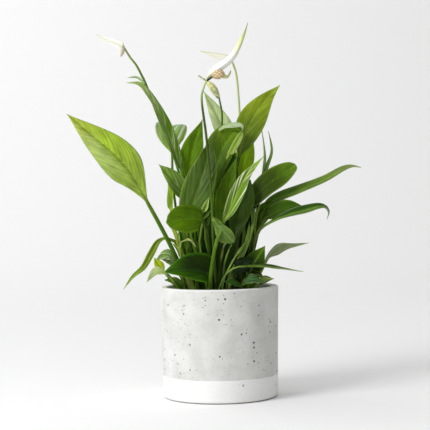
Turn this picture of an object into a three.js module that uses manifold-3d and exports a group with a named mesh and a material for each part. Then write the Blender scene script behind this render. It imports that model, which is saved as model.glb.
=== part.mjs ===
// A peace lily in a cast concrete pot. Millimetres, +Z up, the front is towards -Y.
// The origin is the middle of the pot's underside. Every leaf is one grown piece, its stalk and
// its blade, and stands in a plain hole in the soil, as do the stems of the flowers.

import * as THREE from 'three';
import { mergeVertices } from 'three/addons/utils/BufferGeometryUtils.js';
import Module from 'manifold-3d';

// ---------------------------------------------------------------- driving dimensions

const POT_HEIGHT = 140;
const POT_RIM_RADIUS = 75;
const POT_FOOT_RADIUS = 72.5;
const POT_WALL = 9;
const POT_FLOOR = 9;
const FOOT_ROUND = 5;
const RIM_ROUND = 2;
const POT_SIDES = 48;
const CORNER_STEPS = 2;

const SOIL_HEIGHT = 127;
const SOIL_MOUND = 3;
const SOIL_RINGS = 4;
const SOIL_SIDES = 24;
const HOLE_SIDES = 6;
const GAP = 0.35;

const STALK_RADIUS = 2.1;
const STALK_FLARE = 0.25;
const SUNK = 15;
const BLADE_THICKNESS = 0.9;
const RIB_DEPTH = 1.1;
const RIB_TAPER = 0.8;
const OPENING = 0.14;
const TIP_TAPER = 0.85;
const RIPPLES = 11;
const STALK_STEPS = 2;
const BLADE_STEPS = 12;

const STEM_SIDES = 8;
const STEM_STEPS = 14;
const PETAL_RIM = 0.9;
const PETAL_FOLD = 36;
const BUD_STEPS = 12;
const BUD_LENGTH = 0.7;
const SPADIX_SIDES = 14;
const SPADIX_ROWS = 12;
const SPADIX_KNOBS = 7;
const KNOB_HEIGHT = 0.12;

// The place from which the plant's outline was measured: straight in front of the pot.
const VIEW_DISTANCE = 1700;
const VIEW_HEIGHT = 261;

// ---------------------------------------------------------------- shapes

// A point that shows at x, z in the upright plane through the pot's middle, and lies depth behind it.
function front(x, z, depth) {
  const reach = 1 + depth / VIEW_DISTANCE;
  return new THREE.Vector3(x * reach, depth, VIEW_HEIGHT + (z - VIEW_HEIGHT) * reach);
}

function soilHeight(x, y) {
  const away = Math.hypot(x, y) / POT_RIM_RADIUS;
  return SOIL_HEIGHT + SOIL_MOUND * (1 - away * away) + Math.sin(0.21 * x + 1) * Math.cos(0.19 * y);
}

const mix = (from, to, part) => from + (to - from) * part;
const ease = (part) => THREE.MathUtils.smoothstep(part, 0, 1);
const smooth = (points) => new THREE.CatmullRomCurve3(points, false, 'catmullrom', 0.5);

const HEXAGON = Math.sqrt(3) / 2;
const UNDERSIDE = [4, 5];

// A closed skin over rings of points that run anticlockwise seen from the last ring. The strips in
// crossed are split along the other diagonal, so that a thin blade's two faces are split alike.
function skin(rings, crossed = []) {
  const sides = rings[0].length;
  const index = [];
  for (let ring = 0; ring < rings.length - 1; ring += 1) {
    for (let side = 0; side < sides; side += 1) {
      const a = ring * sides + side;
      const b = ring * sides + ((side + 1) % sides);
      const [c, d] = [a + sides, b + sides];
      if (crossed.includes(side)) index.push(a, b, d, a, d, c);
      else index.push(a, b, c, b, d, c);
    }
  }
  const last = (rings.length - 1) * sides;
  for (let side = 1; side < sides - 1; side += 1) {
    index.push(0, side + 1, side, last, last + side, last + side + 1);
  }
  const geometry = new THREE.BufferGeometry().setFromPoints(rings.flat());
  geometry.setIndex(index);
  return geometry;
}

// Stops along a smooth curve, with the side direction carried along it without twist. It is square
// to facing at the stop called middle.
function frames(curve, stops, middle, facing) {
  const made = stops.map((stop) => ({ at: curve.getPoint(stop), ahead: curve.getTangent(stop) }));
  made[middle].side = facing.clone().cross(made[middle].ahead).normalize();
  const carry = (to, from) => {
    to.side = from.side.clone().addScaledVector(to.ahead, -from.side.dot(to.ahead)).normalize();
  };
  for (let i = middle + 1; i < made.length; i += 1) carry(made[i], made[i - 1]);
  for (let i = middle - 1; i >= 0; i -= 1) carry(made[i], made[i + 1]);
  for (const frame of made) frame.up = frame.ahead.clone().cross(frame.side);
  return made;
}

function place(frame, across, above) {
  return frame.at.clone().addScaledVector(frame.side, across).addScaledVector(frame.up, above);
}

// The way of a stalk: sunk in the soil, out of it at root, then through the other points.
function wayOut(root, others) {
  const base = new THREE.Vector3(root[0], root[1], soilHeight(root[0], root[1]));
  const up = others[0].clone().sub(base).normalize();
  return [base.clone().addScaledVector(up, -SUNK), base, ...others];
}

// The frames of a blade along points, from the one numbered neck to the tip, and of the stalk before
// it. Each has its stalk radius and its part of the way along the blade, which is below 0 on the stalk.
function bladeFrames(points, neck, blade) {
  const spans = points.length - 1;
  const stops = neck > 0 ? [0] : [];
  for (let step = 0; step < STALK_STEPS * (neck - 1); step += 1) stops.push(1 + step / STALK_STEPS);
  for (let step = 0; step <= BLADE_STEPS; step += 1) {
    stops.push(mix(neck, spans, step / BLADE_STEPS));
  }
  const middle = stops.length - 1 - BLADE_STEPS / 2;
  const facing = new THREE.Vector3(...blade.face);
  const made = frames(smooth(points), stops.map((stop) => stop / spans), middle, facing);
  made.forEach((frame, i) => {
    frame.part = (stops[i] - neck) / (spans - neck);
    frame.radius = blade.thick * (1 + STALK_FLARE * Math.max(0, 1 - stops[i] / Math.max(neck, 1)));
  });
  return made;
}

// How wide a blade is at part, from 0 at its base to 1 at its drawn-out tip.
function outline(part, blade) {
  return Math.sin(Math.PI * part ** blade.broad) ** blade.taper;
}

// The section of a leaf: a six-sided stalk that opens into two thin halves with a rib below. The
// edges ripple, most where the blade is widest.
function bladeRing(frame, blade) {
  const { part, radius } = frame;
  const open = ease(part / OPENING);
  const along = Math.max(0, part);
  const full = blade.width / 2 * outline(along, blade);
  const half = Math.max(full, HEXAGON * radius * (1 - TIP_TAPER * along));
  const thin = mix(radius / 2, BLADE_THICKNESS / 2, open);
  const top = mix(radius, BLADE_THICKNESS / 2, open);
  const keel = mix(radius, BLADE_THICKNESS / 2 + RIB_DEPTH * (1 - RIB_TAPER * along), open);
  const tilt = THREE.MathUtils.degToRad(blade.fold) * open;
  const across = half * Math.cos(tilt);
  const ripple = blade.wave * full / (blade.width / 2);
  const rise = (turn) => half * Math.sin(tilt) + ripple * Math.sin(turn + blade.phase + RIPPLES * along);
  const [right, left] = [rise(0), rise(2)];
  return [
    place(frame, across, right - thin), place(frame, across, right + thin), place(frame, 0, top),
    place(frame, -across, left + thin), place(frame, -across, left - thin), place(frame, 0, -keel),
  ];
}

const USUAL = { fold: 12, wave: 1, thick: STALK_RADIUS, broad: 0.85, taper: 1.15, phase: 0, tone: 'green' };

function bladeGeometry(made, blade) {
  return skin(made.map((frame) => bladeRing(frame, blade)), UNDERSIDE);
}

function leafPoints(leaf) {
  return wayOut(leaf.root, [...leaf.stalk, ...leaf.blade].map((point) => front(...point)));
}

function leafGeometry(leaf) {
  return bladeGeometry(bladeFrames(leafPoints(leaf), 2 + leaf.stalk.length, leaf), leaf);
}

// ---------------------------------------------------------------- leaves

// Each leaf: its name, where its stalk leaves the soil as [x, y], the points that the stalk passes,
// the points that the midrib passes from the blade's base to its tip, its blade's full width and the
// way its upper face looks. More gives the fold along the midrib in degrees, the wave of the edges,
// the stalk's radius, the tone of its green, and broad and taper, which set where the blade is widest
// and how pointed it is.
// The points are [x, z, depth] as front() reads them.
const leaves = [];

function leaf(name, root, stalk, blade, width, face, more = {}) {
  const phase = leaves.length * 2.4;
  leaves.push({ ...USUAL, name, root, stalk, blade, width, face, phase, ...more });
}

// the left side
leaf('leaf_left_wide', [-33, -2], [[-60, 190, -7], [-77.5, 225, -8]],
  [[-94, 255, -8], [-129, 306, -12], [-190, 361, -18]], 48, [0.1, -0.95, 0.3],
  { fold: 8, thick: 2.4, tone: 'lime' });
leaf('leaf_left_tall', [-24, 4], [[-36, 220, 0]],
  [[-45, 276, -8], [-58, 318, -8], [-76, 364, -8], [-94, 394, -10], [-114, 399, -12]], 23,
  [0.7, -0.7, 0.1], { fold: 26, broad: 0.68 });
leaf('leaf_left_far', [-27, 14], [[-50, 195, 15], [-59, 262, 20]],
  [[-57, 296, 25], [-60, 328, 33], [-63, 344, 54], [-66, 336, 80]], 42, [0.1, -0.7, 0.7],
  { tone: 'blue' });
leaf('leaf_left_young', [-34, 19], [[-54, 200, 22], [-62, 244, 22]],
  [[-63, 262, 24], [-66, 278, 36], [-69, 286, 54]], 12, [0, -0.7, 0.7],
  { fold: 25, wave: 0.4, tone: 'bright' });
leaf('leaf_left_bright', [-16, 2], [[-28, 200, 3]],
  [[-38, 260, 4], [-32, 310, 2], [-18, 351, -4]], 29, [0.15, -0.95, 0.25]);
leaf('leaf_left_pointed', [-22, -5], [[-28, 200, -5]],
  [[-36, 242, -14], [-56, 273, -24], [-74, 295, -34]], 28, [0.35, -0.8, 0.5], { fold: 16 });
leaf('leaf_left_arching', [-36, 8], [[-46, 178, 9], [-55, 197, 7]],
  [[-68, 202, 5], [-86, 188, 3], [-101, 163, 1], [-123, 134, -2]], 11, [0.5, -0.7, 0.5], { fold: 20 });
leaf('leaf_left_grey', [-42, -10], [[-46, 148, -15]],
  [[-52, 160, -20], [-63, 179, -26], [-82, 175, -32]], 30, [0.1, -0.55, 0.8], { tone: 'blue' });
leaf('leaf_left_lime', [-46, -18], [[-60, 147, -20]],
  [[-69, 158, -21], [-76, 168, -22], [-82, 177, -24]], 12, [-0.3, -0.8, 0.4],
  { wave: 0.4, thick: 1.5, tone: 'lime' });
leaf('leaf_left_pale', [-38, -28], [[-55, 143, -32]],
  [[-65, 155, -34], [-79, 159, -37], [-92, 146, -40]], 15, [-0.2, -0.7, 0.7],
  { wave: 0.5, thick: 1.6, tone: 'pale' });

// the middle
leaf('leaf_middle_dark', [-24, -18], [[-30, 175, -25]],
  [[-37, 212, -31], [-32, 246, -36], [-20, 284, -37], [-9, 311, -28], [-5, 309, -15]], 41,
  [-0.15, -0.95, 0.25], { broad: 0.9, taper: 1, tone: 'deep' });
leaf('leaf_middle_round', [-12, -24], [[-12, 190, -33]],
  [[-22, 221, -50], [-44, 225, -61], [-66, 221, -66]], 35, [-0.25, -0.95, 0.15],
  { wave: 0.6, broad: 0.9, taper: 0.75 });
leaf('leaf_middle_high', [-4, -3], [[-6, 200, -3]],
  [[-6, 246, -3], [1, 290, -5], [14, 330, -2], [26, 339, 6], [38, 331, 13]], 38, [-0.1, -0.95, 0.3],
  { broad: 0.9, taper: 0.9 });
leaf('leaf_middle_olive', [1, -13], [[0, 180, -13]],
  [[0, 212, -18], [11, 260, -24], [25, 303, -22]], 25, [-0.2, -0.9, 0.3], { tone: 'deep' });
leaf('leaf_middle_streaked', [6, -23], [[3, 180, -28]],
  [[6, 220, -34], [31, 262, -42], [59, 303, -43]], 26, [0.1, -0.95, 0.3], { fold: 24, tone: 'bright' });
leaf('leaf_middle_new', [-12, -12], [[-16, 190, -18]],
  [[-19, 226, -21], [-16, 239, -22], [-13, 251, -23]], 8, [0.2, -0.9, 0.3],
  { fold: 30, wave: 0.2, tone: 'pale' });
leaf('leaf_middle_deep', [3, 13], [[3, 190, 14]],
  [[4, 240, 12], [9, 270, 9], [14, 298, 6]], 26, [0, -0.95, 0.2], { tone: 'darkest' });
leaf('leaf_middle_pale', [-13, -46], [[-8.6, 167, -54]],
  [[-4, 190, -59], [6, 208, -67], [-6, 228, -68]], 33, [0.1, 0.75, 0.6], { tone: 'pale' });
leaf('leaf_middle_low', [-15, -34], [],
  [[-16, 152, -38], [-39, 157, -47], [-68, 161, -56]], 48, [-0.2, -0.8, 0.5],
  { fold: 28, broad: 0.66, taper: 0.85, tone: 'darkest' });
leaf('leaf_middle_shaded', [-28, -9], [],
  [[-28, 172, -14], [-32, 188, -15], [-36, 206, -14]], 20, [0.2, -0.9, 0.3], { tone: 'darkest' });
leaf('leaf_middle_wilted', [-34, -19], [[-42, 160, -22]],
  [[-50, 191, -30], [-44, 199, -36], [-35, 196, -41], [-26, 184, -43]], 7, [0, -0.3, 0.95],
  { fold: 30, wave: 0.3, thick: 1.3, tone: 'yellow' });

// the top
leaf('leaf_top_right', [9, 9], [[13, 240, 18]],
  [[17, 300, 18], [48, 346, 24], [82, 393, 16]], 42, [0.3, -0.9, 0.1], { tone: 'bright' });
leaf('leaf_top_pale', [9, 22], [[20, 240, 38]],
  [[22, 300, 44], [6, 344, 48], [-16, 387, 50]], 27, [0.2, -0.9, 0.2], { tone: 'pale' });
leaf('leaf_top_behind', [18, 16], [[25, 210, 28]],
  [[28, 262, 33], [35, 304, 38], [42, 345, 44]], 26, [0.1, -0.95, 0.2], { tone: 'bright' });

// the right side
leaf('leaf_right_hanging', [17, -29], [[20, 171, -28], [35, 236, -13]],
  [[41, 259, -12], [36, 244, -18], [29, 217, -28], [22, 189, -36]], 36, [0.1, -0.9, 0.4],
  { tone: 'darkest' });
leaf('leaf_right_broad', [15, -2], [[32, 170, -2], [41, 205, -1]],
  [[44, 246, 4], [64, 266, 2], [84, 283, 6], [99, 290, 20]], 38, [-0.1, -0.85, 0.5],
  { broad: 0.92, taper: 0.95, tone: 'deep' });
leaf('leaf_right_long', [28, 7], [[48, 191, 7]],
  [[61, 236, 8], [96, 258, 10], [138, 274, 16], [181, 288, 24]], 25, [-0.3, -0.55, 0.8]);
leaf('leaf_right_under', [26, -5], [[47, 190, -5]],
  [[60, 222, -8], [87, 238, -12], [115, 240, -16]], 32, [-0.1, -0.7, 0.7]);
leaf('leaf_right_hooked', [25, -16], [[45, 188, -15]],
  [[60, 215, -18], [79, 228, -26], [100, 234, -31], [120, 239, -34], [134, 237, -35],
    [138, 223, -35]], 18, [0, -0.5, 0.85], { fold: 16, tone: 'deep' });
leaf('leaf_right_grey', [38, 4], [[48, 148, 5]],
  [[57, 167, 7], [69, 180, 9], [88, 187, 12], [113, 193, 16]], 24, [-0.3, 0.6, 0.75], { tone: 'pale' });
leaf('leaf_right_thin', [-4, -40], [[6, 152, -44], [24, 163.5, -47]],
  [[38, 165.5, -48], [60, 165, -50], [82, 161, -51], [107, 156.5, -51]], 15, [0, -0.3, 0.95],
  { wave: 0.5, thick: 1.5, tone: 'pale' });
leaf('leaf_right_small', [25, -25], [[30, 142, -27]],
  [[36, 150, -29], [46, 153, -33], [57.5, 150, -36]], 14, [0, -0.7, 0.7], { tone: 'deep' });
leaf('leaf_right_dark', [34, -20], [],
  [[38, 152, -22], [48, 172, -24], [60, 190, -20]], 24, [0.2, -0.9, 0.3], { tone: 'darkest' });
leaf('leaf_right_shaded', [11, -37], [],
  [[17, 152, -37], [30, 166, -38], [44, 175, -38]], 20, [-0.2, -0.9, 0.3], { tone: 'darkest' });
leaf('leaf_right_low', [37, 22], [],
  [[40, 150, 26], [44, 168, 32], [45, 186, 42]], 24, [0, -0.9, 0.4], { tone: 'darkest' });
leaf('leaf_right_narrow_1', [25, 22], [[44, 220, 20]],
  [[55, 264, 21], [60, 288, 23], [61, 312, 25], [57, 340, 27]], 11, [-0.9, -0.1, 0.3],
  { fold: 25, tone: 'deep' });
leaf('leaf_right_narrow_2', [33, 15], [[50, 220, 13]],
  [[58, 262, 13], [68, 290, 15], [71, 310, 16], [65, 334, 16]], 11, [-0.9, -0.2, 0.3],
  { fold: 25, tone: 'deep' });
leaf('leaf_rim_1', [19, -46], [],
  [[25, 139, -52], [17, 145, -58], [7, 146, -61]], 12, [0, -0.5, 0.85],
  { thick: 1.4, wave: 0.4, tone: 'blue' });
leaf('leaf_rim_2', [28, -37], [],
  [[32, 139, -43], [43, 145, -51], [57, 145, -55]], 14, [0, -0.5, 0.85],
  { thick: 1.4, wave: 0.4, tone: 'blue' });

// the back
leaf('leaf_back_1', [-18, 22], [[-26, 200, 32]],
  [[-30, 235, 40], [-34, 262, 60], [-36, 272, 90]], 34, [0, 0.4, 0.9]);
leaf('leaf_back_2', [-1, 29], [[-3, 210, 42]],
  [[-6, 250, 50], [-10, 282, 68], [-12, 292, 98]], 34, [0, 0.5, 0.85]);
leaf('leaf_back_3', [7, 38], [[22, 195, 44]],
  [[18, 228, 50], [24, 254, 70], [29, 258, 100]], 34, [0, 0.4, 0.9]);
leaf('leaf_back_4', [27, 31], [[33, 180, 36]],
  [[36, 204, 42], [42, 224, 62], [44, 226, 92]], 30, [0.1, 0.4, 0.9]);
leaf('leaf_back_5', [-30, 28], [],
  [[-33, 170, 34], [-37, 198, 42], [-38, 222, 58]], 32, [0, -0.9, 0.3]);
leaf('leaf_back_6', [-6, 38], [],
  [[-6, 166, 44], [-3, 196, 50], [0, 222, 64]], 34, [0, -0.9, 0.3]);
leaf('leaf_back_7', [18, 43], [],
  [[24, 160, 48], [30, 186, 56], [34, 208, 74]], 32, [0, -0.9, 0.3]);
leaf('leaf_back_8', [-20, 42], [[-26, 148, 48]],
  [[-32, 160, 56], [-42, 170, 78], [-48, 164, 104]], 28, [-0.1, 0.4, 0.9]);

// ---------------------------------------------------------------- flowers

// Each flower: the root and the points of its stem, then the points, width and inner face of its
// white spathe, then the way, length and radius of its spadix.
const flowers = [
  {
    name: 'flower_left', root: [-17, 12], thick: 1.7,
    stem: [[-32, 200, 15], [-51, 292, 15], [-75.5, 359, 12], [-89, 395.6, 8], [-101, 421, 6],
      [-114, 441, 5]],
    spathe: [[-112, 445, 5], [-122, 451, 4], [-135, 455, 2], [-150, 461, 0]],
    width: 22, face: [-0.3, -0.5, -0.8],
    spadix: { way: [-0.5, -0.3, -0.8], length: 13, radius: 3.6 },
  },
  {
    name: 'flower_front', root: [-3, -33], thick: 1.9,
    stem: [[-6.5, 190, -46], [-8, 250, -51], [-12.7, 322, -48], [-18.3, 372, -45], [-17, 388, -44],
      [-12.5, 399, -44]],
    spathe: [[-15.4, 402, -41], [-3, 416, -37], [14, 432, -36], [29, 450, -36], [40, 471, -38]],
    width: 28, face: [0.8, -0.25, -0.6],
    spadix: { way: [0.8, -0.5, 0.3], length: 24, radius: 6 },
  },
  {
    name: 'flower_back', root: [13, 30], thick: 1.5,
    stem: [[24, 220, 38], [29, 330, 40], [28.5, 372, 40], [26, 407, 39], [20.5, 424, 38]],
    spathe: [[18.5, 428, 37], [9, 432.5, 37], [-4, 435, 36], [-20, 437, 35]],
    width: 20, face: [-0.2, 0.5, -0.8],
    spadix: { way: [-0.3, 0.9, 0.1], length: 17, radius: 3.6 },
  },
  {
    name: 'flower_bud', root: [-8, 24], thick: 1.5,
    stem: [[-2, 240, 29], [5, 325, 31], [7, 356, 31], [4, 376, 30]],
    bud: [[3.4, 377, 30], [-2, 388, 29], [-9, 396, 28], [-22, 406, 27]], radius: 4.2,
  },
];

function stemPoints(flower) {
  return wayOut(flower.root, flower.stem.map((point) => front(...point)));
}

function rod(radius, sides, steps, extrudePath) {
  const round = new THREE.Shape();
  round.absarc(0, 0, radius, 0, 2 * Math.PI);
  const settings = { steps, curveSegments: sides / 2, bevelEnabled: false, extrudePath };
  return new THREE.ExtrudeGeometry(round, settings);
}

function stemGeometry(flower) {
  return rod(flower.thick, STEM_SIDES, STEM_STEPS, smooth(stemPoints(flower)));
}

function spatheGeometry(flower) {
  const { width, face } = flower;
  const blade = { ...USUAL, width, face, fold: PETAL_FOLD, wave: 0.5, thick: PETAL_RIM };
  return bladeGeometry(bladeFrames(flower.spathe.map((point) => front(...point)), 0, blade), blade);
}

// A closed bud: a rolled spathe, fullest below its middle, that runs out into a thin tail. Its body
// is BUD_LENGTH of the whole.
function budGeometry(flower) {
  const stops = Array.from({ length: BUD_STEPS + 1 }, (_, step) => step / BUD_STEPS);
  const way = smooth(flower.bud.map((point) => front(...point)));
  const made = frames(way, stops, BUD_STEPS / 2, new THREE.Vector3(0, -1, 0));
  return skin(made.map((frame, i) => {
    const full = Math.sin(Math.PI * Math.min(1, stops[i] / BUD_LENGTH));
    const radius = mix(PETAL_RIM, flower.radius, full);
    return Array.from({ length: STEM_SIDES }, (_, side) => {
      const turn = 2 * Math.PI * side / STEM_SIDES;
      return place(frame, radius * Math.cos(turn), radius * Math.sin(turn));
    });
  }));
}

// A spadix: a blunt rod whose rows of knobs are raised by a formula. Its foot is at the origin.
function spadixGeometry({ length, radius }) {
  const geometry = new THREE.SphereGeometry(1, SPADIX_SIDES, SPADIX_ROWS);
  const spot = geometry.attributes.position;
  for (let i = 0; i < spot.count; i += 1) {
    const [x, y, z] = [spot.getX(i), spot.getY(i), spot.getZ(i)];
    const round = Math.hypot(x, z);
    const turn = Math.atan2(z, x);
    const knob = 1 + KNOB_HEIGHT * Math.cos(SPADIX_KNOBS * turn) * Math.cos(SPADIX_ROWS * Math.acos(y));
    const bulge = round ** 0.7 * radius * knob;
    spot.setXYZ(i, bulge * Math.cos(turn), (y + 1) / 2 * length, bulge * Math.sin(turn));
  }
  return geometry;
}

function spadixPiece(flower) {
  const piece = new THREE.Mesh(spadixGeometry(flower.spadix));
  const way = new THREE.Vector3(...flower.spadix.way).normalize();
  const seat = flower.thick + 2 * GAP;
  piece.position.copy(front(...flower.stem.at(-1))).addScaledVector(way, seat);
  piece.quaternion.setFromUnitVectors(new THREE.Vector3(0, 1, 0), way);
  return piece;
}

// ---------------------------------------------------------------- pot and soil

// A quarter round at a corner: from one angle to the other about its middle, as [radius, height].
function corner(middle, round, from, to) {
  const curve = new THREE.EllipseCurve(...middle, round, round, from, to, to < from);
  return curve.getPoints(CORNER_STEPS);
}

function potGeometry() {
  const inner = POT_RIM_RADIUS - POT_WALL;
  const up = Math.PI / 2;
  const profile = [
    new THREE.Vector2(0, 0),
    ...corner([POT_FOOT_RADIUS - FOOT_ROUND, FOOT_ROUND], FOOT_ROUND, -up, 0),
    ...corner([POT_RIM_RADIUS - RIM_ROUND, POT_HEIGHT - RIM_ROUND], RIM_ROUND, 0, up),
    ...corner([inner + RIM_ROUND, POT_HEIGHT - RIM_ROUND], RIM_ROUND, up, 2 * up),
    new THREE.Vector2(POT_FOOT_RADIUS - POT_WALL, POT_FLOOR),
    new THREE.Vector2(0, POT_FLOOR),
  ];
  return new THREE.LatheGeometry(profile, POT_SIDES).rotateX(up);
}

// The soil fills the pot to its own uneven top, clear of the wall and the floor by the gap.
function soilGeometry() {
  const wallAt = (height) => mix(POT_FOOT_RADIUS, POT_RIM_RADIUS, height / POT_HEIGHT) - POT_WALL;
  const bottom = POT_FLOOR + GAP;
  const reach = wallAt(SOIL_HEIGHT) - 3 * GAP;
  const profile = [new THREE.Vector2(0, bottom), new THREE.Vector2(wallAt(bottom) - 3 * GAP, bottom)];
  for (let ring = SOIL_RINGS; ring >= 0; ring -= 1) {
    profile.push(new THREE.Vector2(reach * ring / SOIL_RINGS, SOIL_HEIGHT));
  }
  const geometry = new THREE.LatheGeometry(profile, SOIL_SIDES).rotateX(Math.PI / 2);
  const spot = geometry.attributes.position;
  for (let i = 0; i < spot.count; i += 1) {
    if (spot.getZ(i) > SOIL_HEIGHT - 1) spot.setZ(i, soilHeight(spot.getX(i), spot.getY(i)));
  }
  return geometry;
}

// ---------------------------------------------------------------- cutting

const wasm = await Module();
wasm.setup();

function solid(geometry) {
  const bare = geometry.clone();
  for (const name of Object.keys(bare.attributes)) if (name !== 'position') bare.deleteAttribute(name);
  const closed = mergeVertices(bare, 1e-4);
  const vertProperties = Float32Array.from(closed.attributes.position.array);
  const triVerts = Uint32Array.from(closed.index.array);
  return new wasm.Manifold(new wasm.Mesh({ numProp: 3, vertProperties, triVerts }));
}

function geometryOf(body) {
  const { vertProperties, triVerts } = body.getMesh();
  const geometry = new THREE.BufferGeometry();
  geometry.setAttribute('position', new THREE.BufferAttribute(vertProperties, 3));
  geometry.setIndex(new THREE.BufferAttribute(triVerts, 1));
  return geometry;
}

// The hole that a stalk stands in: straight, and clear of it by the gap all round and below.
function hole([sunk, base], thick) {
  const up = base.clone().sub(sunk).normalize();
  const bottom = sunk.clone().addScaledVector(up, -GAP);
  const top = base.clone().addScaledVector(up, SOIL_MOUND * 2);
  const radius = (thick + GAP) / Math.cos(Math.PI / HOLE_SIDES);
  return solid(rod(radius, HOLE_SIDES, 1, new THREE.LineCurve3(bottom, top)));
}

function soilWithHoles() {
  const holes = [
    ...leaves.map((one) => hole(leafPoints(one), one.thick * (1 + STALK_FLARE))),
    ...flowers.map((flower) => hole(stemPoints(flower), flower.thick)),
  ];
  return geometryOf(holes.reduce((left, taken) => left.subtract(taken), solid(soilGeometry())));
}

// ---------------------------------------------------------------- finishes

const finish = (color, roughness) => new THREE.MeshStandardMaterial({ color, roughness, metalness: 0 });
const LEAF_TONES = {
  green: 0x3f7a16,
  bright: 0x6f9a1c,
  lime: 0x96b545,
  deep: 0x2f5c12,
  darkest: 0x1b3d0d,
  blue: 0x5f8468,
  pale: 0xa3bd84,
  yellow: 0xb59a3a,
};

// ---------------------------------------------------------------- the plant in its pot

const plant = new THREE.Group();

function add(name, piece, material) {
  piece.name = name;
  piece.material = material;
  plant.add(piece);
}

add('pot', new THREE.Mesh(potGeometry()), finish(0xd3d2cc, 0.9));
add('soil', new THREE.Mesh(soilWithHoles()), finish(0x2a1d12, 1));
for (const one of leaves) {
  add(one.name, new THREE.Mesh(leafGeometry(one)), finish(LEAF_TONES[one.tone], 0.4));
}
for (const flower of flowers) {
  const petal = flower.bud ? budGeometry(flower) : spatheGeometry(flower);
  add(`${flower.name}_stem`, new THREE.Mesh(stemGeometry(flower)), finish(0x5a8a3a, 0.5));
  add(`${flower.name}_spathe`, new THREE.Mesh(petal), finish(0xf2f3e4, 0.5));
  if (flower.spadix) add(`${flower.name}_spadix`, spadixPiece(flower), finish(0xd8c394, 0.8));
}

export default plant;
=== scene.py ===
"""A peace lily growing in a cast concrete pot, seen from straight in front in soft studio light.
Sizes are in millimetres. A mesh is scaled to metres as it is made."""
import math

import bpy
import numpy as np
from mathutils import Matrix, Vector, noise


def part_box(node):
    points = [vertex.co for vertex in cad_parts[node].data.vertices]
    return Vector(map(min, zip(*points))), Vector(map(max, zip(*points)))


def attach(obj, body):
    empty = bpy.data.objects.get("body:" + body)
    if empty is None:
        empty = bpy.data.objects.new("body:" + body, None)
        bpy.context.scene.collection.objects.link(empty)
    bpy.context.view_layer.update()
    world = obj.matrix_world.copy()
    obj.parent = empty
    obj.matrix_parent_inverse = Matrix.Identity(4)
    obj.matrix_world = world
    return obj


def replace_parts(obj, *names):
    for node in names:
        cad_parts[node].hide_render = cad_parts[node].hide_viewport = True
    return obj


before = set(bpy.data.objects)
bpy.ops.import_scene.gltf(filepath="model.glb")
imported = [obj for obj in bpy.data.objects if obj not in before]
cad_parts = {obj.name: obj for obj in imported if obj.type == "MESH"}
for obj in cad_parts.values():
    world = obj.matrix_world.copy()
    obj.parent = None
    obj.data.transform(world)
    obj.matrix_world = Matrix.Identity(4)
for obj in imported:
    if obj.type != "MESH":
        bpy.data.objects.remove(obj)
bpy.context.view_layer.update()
MM = 0.001

# ---------------------------------------------------------------- the camera
# A long lens straight in front of the pot, level with the lower leaves. It looks slightly down and
# is held about a degree off level, as the photograph was taken.

VIEW_DISTANCE = 1700
VIEW_HEIGHT = 261
AIM = Vector((-3.9, 0, 229.8))
ROLL = math.radians(-0.87)
PICTURE_PIXELS = 430
PIXEL = 1.267  # what one pixel covers at the pot's axis

camera = bpy.data.objects.new("camera", bpy.data.cameras.new("camera"))
camera.data.sensor_width = 36
camera.data.lens = camera.data.sensor_width * VIEW_DISTANCE / (PICTURE_PIXELS * PIXEL)
eye = Vector((0, -VIEW_DISTANCE, VIEW_HEIGHT))
towards = (AIM - eye).to_track_quat("-Z", "Y").to_matrix().to_4x4()
camera.matrix_world = Matrix.Translation(eye * MM) @ towards @ Matrix.Rotation(ROLL, 4, "Z")
bpy.context.collection.objects.link(camera)
bpy.context.scene.camera = camera

# ---------------------------------------------------------------- the pot
# Concrete poured into a smooth cylinder mould, so its wall is straight, its corners are a little
# rounded and air holes are left open all over it. Its foot was dipped in white masonry paint, which
# stands proud of the concrete and ends in a line that isn't quite level.

POT_SIDES = 144
POT_WALL = 9
POT_FLOOR = 9
POT_TAPER = 2.5  # how much less its radius is at the foot than at the rim
FOOT_ROUND = 5
RIM_ROUND = 2
DIP_HEIGHT = 29
DIP_THICKNESS = 0.25
DIP_WANDER = 0.5
DIP_WAVES = 4  # the number of waves in its line, and of the small ones on them
DIP_RIPPLES = 19
LINE_REACH = 4  # how far above and below the line its waves still show
CAST_UNEVEN = 0.15
UNEVEN_WIDTH = 14

pot_low, pot_high = (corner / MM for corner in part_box("pot"))
pot_height = pot_high.z
rim_radius = (pot_high.x - pot_low.x) / 2
foot_radius = rim_radius - POT_TAPER
inner_radius = rim_radius - POT_WALL
below_rim = pot_height - RIM_ROUND


def linear(code):
    """An sRGB colour such as "#8fa83c" as linear red, green, blue and alpha."""
    parts = [int(code[start:start + 2], 16) / 255 for start in (1, 3, 5)]
    return [part / 12.92 if part <= 0.04045 else ((part + 0.055) / 1.055) ** 2.4 for part in parts] + [1]


def new_material(name):
    made = bpy.data.materials.new(name)
    made.use_nodes = True
    made.node_tree.nodes.clear()
    return made, made.node_tree


def node(tree, kind, inputs=(), **settings):
    """Adds a shader node with its settings. Its inputs come in order, or by name or number. Each takes a
    value, a socket, or a node, which stands for its first output in use. Every Mix mixes colours."""
    made = tree.nodes.new(f"ShaderNode{kind}")
    if kind == "Mix":
        made.data_type = "RGBA"
    for name, setting in settings.items():
        setattr(made, name, setting)
    for name, given in inputs.items() if isinstance(inputs, dict) else enumerate(inputs):
        if isinstance(given, bpy.types.Node):
            given = next(output for output in given.outputs if output.enabled)
        if isinstance(given, bpy.types.NodeSocket):
            tree.links.new(given, made.inputs[name])
        else:
            made.inputs[name].default_value = given
    return made


def new_piece(name, points, faces, materials):
    """A mesh from points in mm, which rides on the body and takes a slot's finish."""
    mesh = bpy.data.meshes.new(name)
    mesh.from_pydata((np.asarray(points, float).reshape(-1, 3) * MM).tolist(), [], faces)
    for material in materials:
        mesh.materials.append(material)
    mesh.shade_smooth()
    piece = bpy.data.objects.new(name, mesh)
    bpy.context.collection.objects.link(piece)
    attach(piece, "root")
    return piece


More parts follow.
